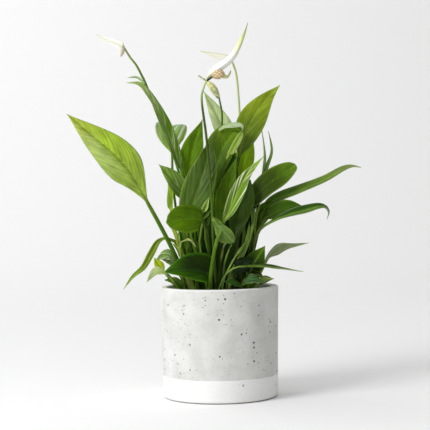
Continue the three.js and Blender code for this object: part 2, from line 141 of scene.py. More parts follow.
def skin(rings):
    """The faces of a closed skin over rings of points, anticlockwise as seen from the last ring."""
    count, around = len(rings), len(rings[0])
    corners = np.arange(count * around).reshape(count, around)
    beside = np.roll(corners, -1, axis=1)
    strips = np.stack([corners[:-1], beside[:-1], beside[1:], corners[1:]], axis=-1)
    return [*strips.reshape(-1, 4).tolist(), corners[0][::-1].tolist(), corners[-1].tolist()]


def rounded(radius, height, round_radius, start, end, steps):
    """A rounded corner of the pot's profile, as radii and heights."""
    turns = np.radians(np.linspace(start, end, steps))
    return np.stack([radius + round_radius * np.cos(turns), height + round_radius * np.sin(turns)], axis=1)


def outside(low, high, rows):
    """Rows up the outside, which widens evenly from the foot to the rim."""
    heights = np.linspace(low, high, rows)
    return np.stack([foot_radius + POT_TAPER * heights / pot_height, heights], axis=1)


painted = np.concatenate([
    [[radius, 0] for radius in (20, 50)],
    rounded(foot_radius - FOOT_ROUND, FOOT_ROUND, FOOT_ROUND, -90, 0, 7),
    outside(2 * FOOT_ROUND, DIP_HEIGHT - 1, 5),
    outside(DIP_HEIGHT - 0.2, DIP_HEIGHT, 2),
])
bare = np.concatenate([
    outside(DIP_HEIGHT + 0.3, DIP_HEIGHT + 2, 2),
    outside(DIP_HEIGHT + 6, below_rim - 2, 18),
    rounded(rim_radius - RIM_ROUND, below_rim, RIM_ROUND, 0, 90, 5),
    rounded(inner_radius + RIM_ROUND, below_rim, RIM_ROUND, 90, 180, 5),
    [[inner_radius - 0.05, height] for height in (134, 130, 125, 110, 60)],
    [[foot_radius - POT_WALL, POT_FLOOR], [30, POT_FLOOR]],
])
pot_rings = []
for row, (radius, height) in enumerate([*painted, *bare]):
    paint = DIP_THICKNESS if 1 < height <= DIP_HEIGHT and row < len(painted) - 1 else 0
    near_line = math.exp(-((height - DIP_HEIGHT) / LINE_REACH) ** 2) if radius > inner_radius else 0
    ring = []
    for turn in np.linspace(0, 2 * np.pi, POT_SIDES, endpoint=False):
        out = Vector((math.cos(turn), math.sin(turn), 0))
        spot = out * radius + Vector((0, 0, height))
        uneven = CAST_UNEVEN * (noise.noise(spot / UNEVEN_WIDTH) - 0.6) if height > 1 else 0
        wander = noise.noise(out * DIP_WAVES) + 0.5 * noise.noise(out * DIP_RIPPLES)
        line = DIP_WANDER * near_line * wander
        ring.append(spot + out * (uneven + paint) + Vector((0, 0, line)))
    pot_rings.append(ring)

# Cast concrete: pale warm grey cement with sand in it, matt, clouded where it dried unevenly, with
# air holes from a pinprick to 2 mm across, painted darker inside as painted shade. The grain of its sand,
# 0.5 mm, is drawn at 1.2 mm to show. The paint on its foot is matt, almost pure white, and fills most of
# the holes, so their painted shade is paler there.
CLOUDS = 24
GRAIN = 1.2
HOLES = 7.0  # how far apart
PINPRICKS = 2.8
CROWDS = 32  # the air holes lie in crowds about this wide
CROWDING = 1.2  # how strictly they keep to them
HOLE_SIZE = 0.22  # the largest hole's radius, for each mm that the holes are apart
HOLE_EDGE = 22  # how sharply a hole begins
RIM_LIGHT_REACH = 0.6  # how far below the top of the rim it is painted palest, as painted light on its upward face
FOOT_SHADE_HEIGHT = 2  # how high up the foot it is painted dark, as painted shade where it meets the floor
HOLE_DEPTH = 0.5


def concrete(name, light, dark, painted_hole_shade, share, rough):
    """light and dark are the colours of its clouds, the hole colour is the painted shade inside its holes,
    and share is how much of it has holes.
    """
    made, tree = new_material(name)
    place = node(tree, "TexCoord").outputs["Object"]
    clouds, crowds, grain = (
        node(tree, "TexNoise", {"Vector": place, "Scale": 1 / (width * MM), "Detail": detail})
        for width, detail in ((CLOUDS, 6), (CROWDS, 1), (GRAIN, 3)))
    cloudy = node(tree, "MapRange", [clouds, 0.35, 0.68])
    colour = node(tree, "Mix", {0: cloudy, 6: linear(light), 7: linear(dark)})
    sandy = node(tree, "MapRange", [grain, 0.3, 0.7, 0.93, 1.05])
    colour = node(tree, "Mix", {0: 1, 6: colour, 7: sandy}, blend_type="MULTIPLY")
    # The holes are painted in a darker colour, as painted shade inside them.
    holes = 0
    for apart, holed in ((HOLES, share), (PINPRICKS, share / 2)):
        cells = node(tree, "TexVoronoi", {"Vector": place, "Scale": 1 / (apart * MM)})
        chosen = node(tree, "SeparateColor", [cells.outputs["Color"]])
        crowded = node(tree, "Math", [crowds, CROWDING, chosen], operation="MULTIPLY_ADD")
        size = node(tree, "MapRange", [
            crowded, 1 - holed + CROWDING / 2, 1 + CROWDING / 2, 0, HOLE_SIZE])
        inside = node(tree, "Math", [size, cells], operation="SUBTRACT")
        mask = node(tree, "Math", [inside, HOLE_EDGE], operation="MULTIPLY", use_clamp=True)
        holes = node(tree, "Math", [holes, mask], operation="MAXIMUM")
    height = node(tree, "SeparateXYZ", [place]).outputs["Z"]
    # The top of the rim is painted paler, as painted light where it faces up.
    painted_rim_light = node(tree, "MapRange", [height, below_rim * MM, (pot_height - RIM_LIGHT_REACH) * MM, 0, 0.7])
    # The lowest 2 mm of the foot are painted dark, as painted shade where it meets the floor.
    painted_foot_shade = node(tree, "MapRange", [height, 0.5 * MM, FOOT_SHADE_HEIGHT * MM, 0.85, 0])
    for shown, code in ((holes, painted_hole_shade), (painted_rim_light, "#efefec"), (painted_foot_shade, "#57534a")):
        colour = node(tree, "Mix", {0: shown, 6: colour, 7: linear(code)})
    sand = node(tree, "Math", [grain, -0.15], operation="MULTIPLY")
    relief = node(tree, "Math", [sand, holes], operation="SUBTRACT")
    bump = node(tree, "Bump", {"Height": relief, "Distance": HOLE_DEPTH * MM})
    matt = node(tree, "MapRange", [grain, 0, 1, rough - 0.08, rough + 0.08])
    shader = node(tree, "BsdfPrincipled", {"Base Color": colour, "Roughness": matt, "Normal": bump})
    node(tree, "OutputMaterial", [shader])
    return made


pot = new_piece("concrete_pot", pot_rings, skin(pot_rings), [
    concrete("cast concrete", "#d5d5d2", "#c4c4c0", "#625f56", 0.66, 0.86),
    concrete("white masonry paint", "#ececeb", "#e8e8e6", "#a9a8a2", 0.04, 0.62)])
foot_faces = (len(painted) - 1) * POT_SIDES
for face in [*pot.data.polygons[:foot_faces], pot.data.polygons[-2]]:
    face.material_index = 1
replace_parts(pot, "pot")

# ---------------------------------------------------------------- the soil
# Peat-based potting mix, pressed down around the stalks by hand. It lies a finger's breadth under
# the rim and is loose on top: crumbs of peat, chips of bark and a few white grains of perlite.

SOIL_HEIGHT = 127
SOIL_MOUND = 3
SOIL_SIDES = 80
SOIL_RINGS = 22
SOIL_PRESSED = 0.9  # how much further out it reaches than its solid, up against the wall
LUMPS = ((1.3, 7), (0.6, 2.8))  # how high they are and how wide


def soil_height(x, y):
    away = math.hypot(x, y) / rim_radius
    return SOIL_HEIGHT + SOIL_MOUND * (1 - away * away) + math.sin(0.21 * x + 1) * math.cos(0.19 * y)


soil_low, soil_high = (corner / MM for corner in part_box("soil"))
soil_radius = soil_high.x + SOIL_PRESSED
soil_rings = []
for radius in (20, soil_radius - 2.5, *np.linspace(soil_radius, soil_radius / SOIL_RINGS, SOIL_RINGS)):
    ring = []
    for turn in np.linspace(0, 2 * np.pi, SOIL_SIDES, endpoint=False):
        x, y = radius * math.cos(turn), radius * math.sin(turn)
        lumps = sum(high * noise.noise(Vector((x, y, 0)) / wide) for high, wide in LUMPS)
        ring.append((x, y, soil_low.z if len(soil_rings) < 2 else soil_height(x, y) + lumps))
    soil_rings.append(ring)


def soil_material(name, damp, dry, lump, depth, dry_from=0.3, dry_to=0.7):
    """Lumps of the given width that stand up by depth, damp and dark where they are low."""
    made, tree = new_material(name)
    place = node(tree, "TexCoord").outputs["Object"]
    lumps = node(tree, "TexNoise", {"Vector": place, "Scale": 1 / (lump * MM), "Detail": 5})
    drier = node(tree, "MapRange", [lumps, dry_from, dry_to])
    brown = node(tree, "Mix", {0: drier, 6: linear(damp), 7: linear(dry)})
    bump = node(tree, "Bump", {"Height": lumps, "Distance": depth * MM})
    shader = node(tree, "BsdfPrincipled", {"Base Color": brown, "Roughness": 0.93, "Normal": bump})
    node(tree, "OutputMaterial", [shader])
    return made


# Damp peat is nearly black brown and matt, with paler dry crumbs about 2 mm across. Pine bark chips
# are red brown with a fibrous face. Puffed perlite is white and chalky, full of bubbles of 0.7 mm.
peat = soil_material("damp peat", "#1d140d", "#5a4430", 2.4, 1.2, 0.4)
bark = soil_material("pine bark", "#3a2415", "#7d5837", 1.5, 0.5)
perlite = soil_material("puffed perlite", "#cfcabd", "#f1efe8", 0.7, 0.3, 0.3, 0.6)
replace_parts(new_piece("potting_soil", soil_rings, skin(soil_rings), [peat]), "soil")

rng = np.random.default_rng(11)
LUMP_SIDES = 6
LUMP_ROWS = 4
LUMP_TILT = 0.35
LUMP_BREADTH = 0.7  # for each mm of its length


def scatter(name, count, smallest, largest, flat, material):
    """Lumps of random size and tilt lying on the soil, as one piece."""
    points, faces = [], []
    for _ in range(count):
        away, turn = (soil_radius - 3) * math.sqrt(rng.random()), rng.random() * 2 * math.pi
        x, y = away * math.cos(turn), away * math.sin(turn)
        size = rng.uniform(smallest, largest)
        turned = Matrix.Rotation(rng.random() * 6.3, 3, "Z")
        lying = turned @ Matrix.Rotation(rng.normal() * LUMP_TILT, 3, "X")
        lump = []
        for lift in np.linspace(0.25, np.pi - 0.25, LUMP_ROWS):
            for spin in np.linspace(0, 2 * np.pi, LUMP_SIDES, endpoint=False):
                round_spot = Vector((math.cos(spin) * math.sin(lift),
                                     LUMP_BREADTH * math.sin(spin) * math.sin(lift), -flat * math.cos(lift)))
                spot = round_spot * size / 2 * rng.uniform(0.75, 1.15)
                lump.append(lying @ spot + Vector((x, y, soil_height(x, y) + 0.2 * size)))
        rings = np.reshape(lump, (LUMP_ROWS, LUMP_SIDES, 3))
        faces += [[corner + len(points) for corner in face] for face in skin(rings)]
        points += lump
    new_piece(name, points, faces, [material])


scatter("peat_crumbs", 260, 2, 5, 0.7, peat)
scatter("bark_chips", 34, 4, 8, 0.3, bark)
scatter("perlite_grains", 30, 1.6, 3.4, 0.9, perlite)

# ---------------------------------------------------------------- the leaves
# Each leaf is one grown piece: a round fleshy stalk out of the soil, a thicker joint under the blade,
# and a blade less than 1 mm thick. Its midrib is sunk in the waxy upper face and stands out below,
# and side veins leave it in long arcs, between which the blade swells a little.

STALK_RADIUS = 2.1
STALK_FLARE = 0.25
STALK_GROOVE = 0.12
STALK_SPACING = 16
STALK_SHARE = 0.866  # the blade is never narrower than this share of the stalk
JOINT_SWELL = 0.14
SUNK = 15
BLADE_THICKNESS = 0.9
RIB_SUNK = 0.35
RIB_DEPTH = 1.1
RIB_TAPER = 0.8
RIB_WIDTH = 1.5
OPENING = 0.14
TIP_TAPER = 0.85
RIPPLES = 11
RING_SPACING = 3.1
WIDE_BLADE = 48
VEIN_SPACING = 10  # along the midrib of a blade that wide
VEIN_LEAN = 2.2  # how far a vein runs along the leaf for each mm that it runs across
VEIN_BEND = 1.4

# Where the points of a ring lie, from its right margin over the upper face to its left, and back.
UPPER = [1, 0.95, 0.8, 0.55, 0.3, 0.1, 0, -0.1, -0.3, -0.55, -0.8, -0.95, -1]
UNDER = [-0.92, -0.7, -0.42, -0.2, -0.07, 0, 0.07, 0.2, 0.42, 0.7, 0.92]
ACROSS = np.array(UPPER + UNDER)
IS_UPPER = np.arange(len(ACROSS)) < len(UPPER)
TURNS = np.concatenate([np.linspace(0, np.pi, len(UPPER)),
                        np.linspace(np.pi, 2 * np.pi, len(UNDER) + 2)[1:-1]])


def front(x, z, depth):
    """A point that shows at x, z in the upright plane through the pot's middle, and lies depth behind it."""
    reach = 1 + depth / VIEW_DISTANCE
    return x * reach, depth, VIEW_HEIGHT + (z - VIEW_HEIGHT) * reach


def fronts(points):
    return np.array([front(*point) for point in points])


def way_out(root, others):
    """The way of a stalk: sunk in the soil, out of it at root, then through the other points."""
    base = np.array([*root, soil_height(*root)])
    others = fronts(others)
    up = (others[0] - base) / np.linalg.norm(others[0] - base)
    return np.array([base - SUNK * up, base, *others])


def ease(low, high, amount):
    """0 below low, 1 above high, and a smooth step between."""
    amount = np.clip((amount - low) / (high - low), 0, 1)
    return amount * amount * (3 - 2 * amount)


def lengths(points):
    """How far along its way each point lies."""
    return np.concatenate([[0], np.cumsum(np.linalg.norm(np.diff(points, axis=0), axis=1))])


def curve_through(points, stops):
    """Points and directions on a smooth curve. Stop 1.5 is halfway from the second point to the third."""
    ends = np.array([2 * points[0] - points[1], *points, 2 * points[-1] - points[-2]])
    span = np.minimum(stops.astype(int), len(points) - 2)
    a, b, c, d = (ends[span + step] for step in range(4))
    part = (stops - span)[:, None]
    bend, swing = 2 * a - 5 * b + 4 * c - d, 3 * b - a - 3 * c + d
    ahead = c - a + 2 * bend * part + 3 * swing * part ** 2
    return (b + ((c - a) * part + bend * part ** 2 + swing * part ** 3) / 2,
            ahead / np.linalg.norm(ahead, axis=1, keepdims=True))


def even_stops(points, start, end, spacing, fewest):
    """Stops a like distance apart along the curve."""
    fine = np.linspace(start, end, 300)
    gone = lengths(curve_through(points, fine)[0])
    count = max(fewest, round(gone[-1] / spacing))
    return np.interp(np.linspace(0, gone[-1], count + 1), gone, fine)


def frames_along(points, stops, middle, facing):
    """The places at the stops, each with its side and its up. The side is carried along without twist,
    and is square to facing at the stop nearest to middle."""
    at, ahead = curve_through(points, stops)
    chosen = int(np.argmin(abs(stops - middle)))
    side = np.zeros_like(at)
    side[chosen] = np.cross(facing, ahead[chosen])
    for place in [*range(chosen, len(stops)), *range(chosen - 1, -1, -1)]:
        carried = side[place if place == chosen else place - 1 if place > chosen else place + 1]
        carried = carried - ahead[place] * carried.dot(ahead[place])
        side[place] = carried / np.linalg.norm(carried)
    return at, side, np.cross(ahead, side)


def blade_rings(points, neck, blade):
    """The rings of a leaf or a white spathe. Gives the points, each one's part of the way along the
    blade, which is below 0 on the stalk, and its place in the pattern of the veins."""
    last = len(points) - 1
    stops = even_stops(points, neck, last, blade["spacing"], 14)
    if neck:
        stops = np.concatenate([even_stops(points, 0, neck, STALK_SPACING, 8)[:-1], stops])
    at, side, up = frames_along(points, stops, (neck + last) / 2, blade["face"])
    steps = lengths(at)
    part = (stops - neck) / (last - neck)
    gone = steps - np.interp(0, part, steps)
    part, gone = part[:, None], gone[:, None]
    along = np.clip(part, 0, 1)
    opened = ease(0, OPENING, part)
    radius = blade["thick"] * (1 + STALK_FLARE * np.clip(1 - stops[:, None] / max(neck, 1), 0, 1))
    half_width = blade["width"] / 2
    full = half_width * np.sin(np.pi * along ** blade["broad"]) ** blade["taper"]
    drawn_in = np.where(ACROSS > 0, blade.get("left_drawn_in", blade["drawn_in"]), blade["drawn_in"])
    full = full * ease(0, 1, along / np.maximum(drawn_in, 0.01)) ** 0.5
    narrowest = STALK_SHARE * radius * (1 - TIP_TAPER * along)
    half = np.maximum(full, narrowest) * (1 + blade["lean"] * np.sign(ACROSS))
    tilt = np.radians(blade["fold"])
    turn = np.where(ACROSS < 0, 2, 0) + blade["phase"] + RIPPLES * along
    ripple = blade["wave"] * full / half_width * np.sin(turn) * abs(ACROSS) ** 1.6
    belly = blade["belly"] * full * 4 * abs(ACROSS) * (1 - abs(ACROSS))
    thin = BLADE_THICKNESS / 2 * (1 - abs(ACROSS) ** 4)
    rib = np.exp(-(ACROSS * half / RIB_WIDTH) ** 2)
    rib_below = RIB_DEPTH * (1 - RIB_TAPER * along) * rib
    above = np.where(IS_UPPER, thin - RIB_SUNK * rib * opened, -thin - rib_below)
    height = half * np.sin(tilt) * abs(ACROSS) + ripple + belly + above
    width = half * np.cos(tilt) * ACROSS
    if neck:
        swell = 1 + JOINT_SWELL * np.exp(-((gone + 6) / 5) ** 2)
        groove = 1 - STALK_GROOVE * np.exp(-((TURNS - np.pi / 2) / 0.5) ** 2)
        width = width * opened + radius * swell * np.cos(TURNS) * (1 - opened)
        height = height * opened + radius * swell * groove * np.sin(TURNS) * (1 - opened)
    rings = at[:, None] + side[:, None] * width[..., None] + up[:, None] * height[..., None]
    out = abs(ACROSS) * half
    phase = gone - blade["vein_lean"] * out - VEIN_BEND * out ** 2 / half_width
    phase = phase / (blade["vein_gap"] * (0.45 + 0.55 * blade["width"] / WIDE_BLADE)) + 0.5 * (ACROSS < 0)
    phase = phase * opened + 1.5 * ACROSS * (1 - opened) + blade["own_pattern"]
    return rings, part + 0 * phase, np.stack([phase, gone + 0 * phase, ACROSS * half], axis=-1)


def painted_over(colour, code, amount):
    return colour + (np.array(linear(code)[:3]) - colour) * np.asarray(amount)[..., None]


def leaf_colours(part, veins, leaf):
    """The linear colour of each point, with how much of the waxed upper face it has in the alpha. A leaf is
    green all over, then left of its midrib, low by its stalk and at its tip in the colours for these. These
    paint its light and shade: a lit half and a shaded half where it folds, and a base and a tip painted
    lighter or darker by how light falls on them. Only a wilted brown tip is its own colour. The band along
    the margin is a painted highlight on most leaves and painted shade on a few, and its own brown on the
    wilted one. A dark midrib is painted shade in its groove, and a pale one is its own colour."""
    gone, out = veins[..., 1], abs(veins[..., 2])
    upper = painted_over(np.zeros((*part.shape, 3)), leaf["green"], 1)
    for key, amount in (("left", ease(0, 0.2, ACROSS) + 0 * part), ("low", 1 - ease(0.1, 0.75, part)),
                        ("tip", ease(leaf["tip_from"], 1, part))):
        upper = painted_over(upper, leaf[key], amount) if key in leaf else upper
    colour = np.where(IS_UPPER[:, None], upper, painted_over(upper, leaf["under"], 0.75))
    colour = painted_over(colour, leaf["rib"], leaf["ribbed"] * np.exp(-(out / 0.9) ** 2))
    colour = painted_over(colour, leaf["edge"], leaf["edged"] * ease(0.83, 1, abs(ACROSS) + 0 * part))
    stalk = painted_over(np.zeros_like(colour), leaf["stalk"], 1)
    # Near the soil a stalk is painted duller, as painted shade down among the other stalks.
    stalk = painted_over(stalk, "#5c7228", 0.35 * (1 - ease(SUNK, SUNK + 45, gone - gone.min())))
    stalk = painted_over(stalk, "#9fb84c", 0.4 * np.exp(-((gone + 6) / 6) ** 2))
    opened = ease(-0.01, OPENING * 0.8, part)[..., None]
    waxed = np.where(IS_UPPER[:, None], 1, 0.15) * opened + 0.6 * (1 - opened)
    return np.concatenate([stalk + (colour - stalk) * opened, waxed], axis=-1)


def grown_piece(name, slot, rings, material, **given):
    """A piece whose points carry what its material reads: colours of four values, places of three."""
    piece = new_piece(name, rings, skin(rings), [material])
    for attribute, values in given.items():
        values = np.asarray(values, np.float32)
        kind, field = ("FLOAT_COLOR", "color") if values.shape[-1] == 4 else ("FLOAT_VECTOR", "vector")
        piece.data.attributes.new(attribute, kind, "POINT").data.foreach_set(field, values.reshape(-1))
    return piece


# Leaf: a clear waxy cuticle over green tissue that lets some light through, so it is satin, with soft
# highlights between the sunken side veins. Finer veins run beside them, 1.3 mm apart, and on some leaves
# pale streaks of painted sheen lie between them. The underside has less wax and is duller.
FINE_VEINS = (VEIN_SPACING / 2.5, 0.012, 0.03)  # its changes for each side vein, mm along and mm across
BROAD_BANDS = (0.6, 0.01, 0.13)
MOTTLED = 16
QUILT_DEPTH = 0.35

leaf_skin, tree = new_material("waxed green leaf")
tint, fleck, veins = (node(tree, "Attribute", attribute_name=name) for name in ("tint", "fleck", "veins"))
place = node(tree, "TexCoord").outputs["Object"]
phase = node(tree, "SeparateXYZ", [veins.outputs["Vector"]])
from_vein = node(tree, "Math", [phase, 0.5], operation="PINGPONG")
swell = node(tree, "MapRange", [from_vein, 0, 0.5], interpolation_type="SMOOTHSTEP")
fine, broad = (node(tree, "VectorMath", [veins.outputs["Vector"], stretch], operation="MULTIPLY")
               for stretch in (FINE_VEINS, BROAD_BANDS))
streaks = node(tree, "TexNoise", {"Vector": fine, "Scale": 1, "Detail": 3})
bands = node(tree, "TexNoise", {"Vector": broad, "Scale": 1, "Detail": 2})
clouds = node(tree, "TexNoise", {"Vector": place, "Scale": 1 / (MOTTLED * MM), "Detail": 4})
shade = 1
# The streaks, clouds and bands make the green differ at random. The last pattern paints the blade darker
# along its side veins, as painted shade in their sunken creases.
for pattern, low, high, darkest, palest in (
        (streaks, 0.25, 0.75, 0.84, 1.16), (clouds, 0.3, 0.7, 0.85, 1.18), (bands, 0.3, 0.7, 0.84, 1.18),
        (from_vein, 0, 0.1, 0.82, 1)):
    own = node(tree, "MapRange", [pattern, low, high, darkest, palest])
    shade = node(tree, "Math", [shade, own], operation="MULTIPLY")
green = node(tree, "Mix", {0: 1, 6: tint, 7: shade}, blend_type="MULTIPLY")
# On some leaves pale streaks between the veins are painted sheen, in the colour and share that the points
# carry.
pale = node(tree, "MapRange", [streaks, 0.5, 0.66], interpolation_type="SMOOTHSTEP")
flecked = node(tree, "Math", [pale, fleck.outputs["Alpha"]], operation="MULTIPLY")
shown = node(tree, "Mix", {0: flecked, 6: green, 7: fleck})
quilt = node(tree, "Math", [streaks, 0.5, swell], operation="MULTIPLY_ADD")
bump = node(tree, "Bump", {"Height": quilt, "Strength": 0.7, "Distance": QUILT_DEPTH * MM})
wax = node(tree, "MapRange", [tint.outputs["Alpha"], 0, 1, 0.62, 0.4])
shader = node(tree, "BsdfPrincipled", {
    "Base Color": shown, "Roughness": wax, "Normal": bump, "Specular IOR Level": 0.09,
    "Subsurface Weight": 0.12, "Subsurface Radius": (0.5, 1, 0.2), "Subsurface Scale": 1.5 * MM})
node(tree, "OutputMaterial", [shader])

# What a leaf has unless it says otherwise. Its halves fold up by the fold, in degrees, its margins wave
# by the wave, and its belly is how full it is between them. broad and taper shape its outline, and
# drawn_in is the part of its blade over which it widens from the stalk.
PLAIN_LEAF = {
    "fold": 12, "wave": 1, "thick": STALK_RADIUS, "broad": 0.85, "taper": 1.15, "lean": 0, "drawn_in": 0.12,
    "belly": 0.05, "spacing": RING_SPACING, "vein_lean": VEIN_LEAN, "vein_gap": VEIN_SPACING,
    "stalk": "#5f8a24", "tip_from": 0.8, "under": "#86a85c", "rib": "#8fb33a", "ribbed": 0.5,
    "edge": "#9db63e", "edged": 0.3, "flecked": 0, "fleck": "#c8d89a"}
leaves_made = []


def grow_leaf(name, points, neck, given):
    """A blade in the leaves' finish, after the part of the points, up to neck, that is its stalk."""
    given = {**PLAIN_LEAF, "phase": 2.4 * len(leaves_made), "own_pattern": 7 * len(leaves_made), **given}
    rings, part, veins = blade_rings(points, neck, given)
    # The pale streaks are painted sheen. They start where the blade opens.
    flecks = painted_over(np.zeros((*part.shape, 3)), given["fleck"], 1)
    flecked = given["flecked"] * ease(0, OPENING, part)
    piece = grown_piece(name, "leaf", rings, leaf_skin, veins=veins, tint=leaf_colours(part, veins, given),
                        fleck=np.concatenate([flecks, flecked[..., None]], axis=-1))
    leaves_made.append(piece)
    return piece


def leaf(name, root, passed, blade, width, face, green, **more):
    """One leaf. Its points are as front() reads them; passed has those that the stalk passes, and
    blade those of the midrib from the blade's base to its tip. face is the way its upper face looks."""
    piece = grow_leaf(f"{name}_leaf", way_out(root, [*passed, *blade]), 2 + len(passed),
                      {"width": width, "face": face, "green": green, **more})
    if f"leaf_{name}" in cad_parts:
        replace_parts(piece, f"leaf_{name}")


def flap(name, points, width, face, green, **more):
    """A strip of blade that is folded or curled over. It has no stalk."""
    grow_leaf(name, fronts(points), 0,
              {"width": width, "face": face, "green": green, "drawn_in": 0, "wave": 0.3, **more})


# ---------------------------------------------------------------- the leaves at the left
# The tallest and widest blades, on long stalks that lean out to the left, with small new ones low
# down beside them. The tall one's margin is curled back near its tip, and that strip is a flap.

leaf("left_wide", [-33, -2], [[-60, 190, -7], [-77.5, 225, -8]],
     [[-85.5, 240, -8], [-107, 279, -9], [-129, 306, -12], [-160, 334, -15], [-190, 361, -18]], 49,
     [0.1, -0.95, 0.3], "#98b42c", fold=6, thick=2.4, left="#b0c46c", low="#8ca43a", rib="#4c6818",
     ribbed=0.6, tip="#a4b040", tip_from=0.6, left_drawn_in=0.34, drawn_in=0.36, vein_lean=1.1,
     edge="#7c9c48", edged=0.35, stalk="#426610", flecked=0.3, fleck="#bcca84", broad=0.84, belly=0.02)
leaf("left_tall", [-24, 4], [[-36, 220, 0]],
     [[-43, 276, -8], [-52, 304, -8], [-62.5, 336, -8], [-76, 366, -8], [-90, 389, -9], [-99, 397, -10],
      [-114, 399, -12]], 17.5, [0.7, -0.7, 0.1], "#567c14", fold=24, broad=0.56, taper=0.85, low="#4c700c",
     left="#94b63c", rib="#b8cc84", tip="#a2bb68", tip_from=0.35, edge="#4f7410", edged=0.6, flecked=0.6,
     fleck="#c4d29c", vein_lean=3, vein_gap=40)
flap("left_tall_curl", [[-90, 396, -8], [-97.3, 403.7, -8], [-104.3, 405.6, -8], [-112, 405.5, -8]], 5,
     [0, -0.4, 0.9], "#c8d0b0", fold=40)
leaf("left_far", [-27, 14], [[-46, 195, 15], [-56, 262, 20]],
     [[-57, 304, 26], [-58, 326, 33], [-58, 343, 54], [-58, 334, 80]], 42, [0.1, -0.7, 0.7], "#6c8c48",
     low="#8aa23c", tip="#98ac88", tip_from=0.4, rib="#9cb890", stalk="#4a6c1a", thick=1.5, flecked=0.7,
     fleck="#d0dccc", broad=1.05, vein_lean=1.2, vein_gap=22)
leaf("left_young", [-30, 14], [[-47.2, 178, 2], [-49.5, 195, 1], [-55, 208, 3], [-59, 219, 6]],
     [[-58.5, 234, 8], [-57.5, 248, 9], [-57.5, 264, 12], [-61, 286, 24]], 15, [-0.5, -0.85, 0.1], "#869c28",
     fold=52, wave=0.3, left="#8ca43c", stalk="#98ac34", thick=2.5, broad=0.7, taper=0.5, ribbed=0.2,
     under="#849c38")
leaf("left_bright", [-16, 2], [[-28, 200, 3]], [[-38, 260, 4], [-32, 310, 2], [-18, 351, -4]], 30,
     [0.15, -0.95, 0.25], "#4c7000", low="#648c08", rib="#6c9014", tip="#486a00", left="#527406")
leaf("left_pointed", [-22, -5], [[-28, 200, -5]], [[-36, 242, -14], [-56, 273, -24], [-74, 295, -34]], 28,
     [0.35, -0.8, 0.5], "#769a34", fold=16, low="#70923e", stalk="#3c5c0c", flecked=0.6, fleck="#c4d4a8",
     vein_lean=3, vein_gap=28)
leaf("left_arching", [-36, 8], [[-46, 178, 9], [-55, 197, 7]],
     [[-66, 201.5, 5], [-77, 197, 4], [-86, 182, 3], [-96, 165, 1], [-109, 154, 0], [-121.5, 137, -2]], 9,
     [0.5, -0.7, 0.5], "#72881e", fold=20, broad=0.8, taper=0.85, tip="#88a242", tip_from=0.5,
     stalk="#5c7c1c")
leaf("left_grey", [-42, -10], [[-46, 148, -15]], [[-52, 160, -20], [-63, 178, -26], [-80, 174, -32]], 24,
     [0.1, -0.55, 0.8], "#6c8a38", low="#a4bc78", tip="#4c601c", tip_from=0.5, stalk="#3c5a10", flecked=0.6,
     fleck="#d8e2c0", vein_lean=4, vein_gap=40)
leaf("left_striped", [-41, -15], [[-45, 148, -18]], [[-50, 160, -22], [-58, 167.5, -27], [-73, 175, -34]],
     13, [0.2, -0.6, 0.75], "#7c9850", tip="#6c8440", tip_from=0.5, stalk="#4c6820", thick=1.4, flecked=1,
     fleck="#eef2e0", vein_lean=4, vein_gap=40)
leaf("left_lime", [-46, -18], [[-60, 147, -20]], [[-69, 158, -21], [-76, 168, -22], [-82, 177, -24]], 12,
     [-0.3, -0.8, 0.4], "#a8b818", wave=0.4, thick=1.5)
leaf("left_pale", [-38, -28], [[-55, 143, -32]], [[-65, 155, -34], [-79, 159, -37], [-92, 146, -40]], 15,
     [-0.2, -0.7, 0.7], "#869464", low="#c8dc88", tip="#6a7a46", wave=0.5, thick=1.6, stalk="#3c5a10",
     flecked=0.5, fleck="#d4deb4")

# ---------------------------------------------------------------- the leaves in the middle
# Blades that stand upright or hang forward over the pot. One has pale streaks of painted sheen, one
# shows its pale underside, and a thin one has wilted to brown at the tip. Their folded margins are flaps.

leaf("middle_dark", [-24, -18], [[-32, 175, -25]],
     [[-40, 210, -31], [-33, 240, -35], [-22.5, 268, -38], [-14, 295, -36], [-9, 321, -29]], 40,
     [-0.1, -0.95, 0.25], "#30440a", left="#40581a", broad=0.9, taper=0.75, low="#4c6820", rib="#68802c",
     stalk="#22360a", flecked=0.2, fleck="#7c9264", vein_lean=3, vein_gap=26, tip="#344a0c", tip_from=0.5)
leaf("middle_round", [-12, -24], [[-12, 190, -33]], [[-19, 221, -50], [-42, 225, -61], [-66, 221, -66]], 37,
     [-0.25, -0.95, 0.15], "#486800", wave=0.6, broad=0.9, taper=0.52, low="#426200", rib="#5a7a10",
     stalk="#2a4206", edged=0.15)
leaf("middle_high", [-4, -3], [[-6, 200, -3]],
     [[-6, 250, -3], [-3, 284, -5], [3, 305, -4], [11, 323, -2], [21, 335, 3], [32, 333, 10]], 38,
     [-0.1, -0.95, 0.3], "#587806", left="#4e6810", broad=0.95, taper=0.7, tip="#789a24", tip_from=0.5,
     lean=0.1, rib="#3a5a08", low="#304e04", edged=0.15)
flap("middle_high_edge", [[2, 336.5, -4], [10, 341.5, -4], [19, 343, -4], [29.5, 343.3, -4], [33, 339.5, -3],
                          [31.5, 335, -2]], 7, [0.1, -0.95, 0.3], "#a9bf8c", fold=5, flecked=0.5,
     fleck="#d4e0c4", rib="#c4d4ac", edge="#d0dcb8")
flap("middle_high_fold", [[33, 335, -9], [22.5, 317, -10], [12, 299, -10]], 9, [0.3, -0.9, 0.2], "#9fba48",
     fold=5, flecked=0.7, fleck="#d8e2a4", vein_lean=5, vein_gap=80, low="#7c9c30", edge="#dce8b0",
     taper=0.4)
leaf("middle_olive", [1, -13], [[0, 180, -13]], [[0, 212, -18], [11, 260, -24], [25, 303, -22]], 23,
     [-0.2, -0.9, 0.3], "#507208", low="#547604", tip="#48680c", rib="#5a7c20", stalk="#1e2e06")
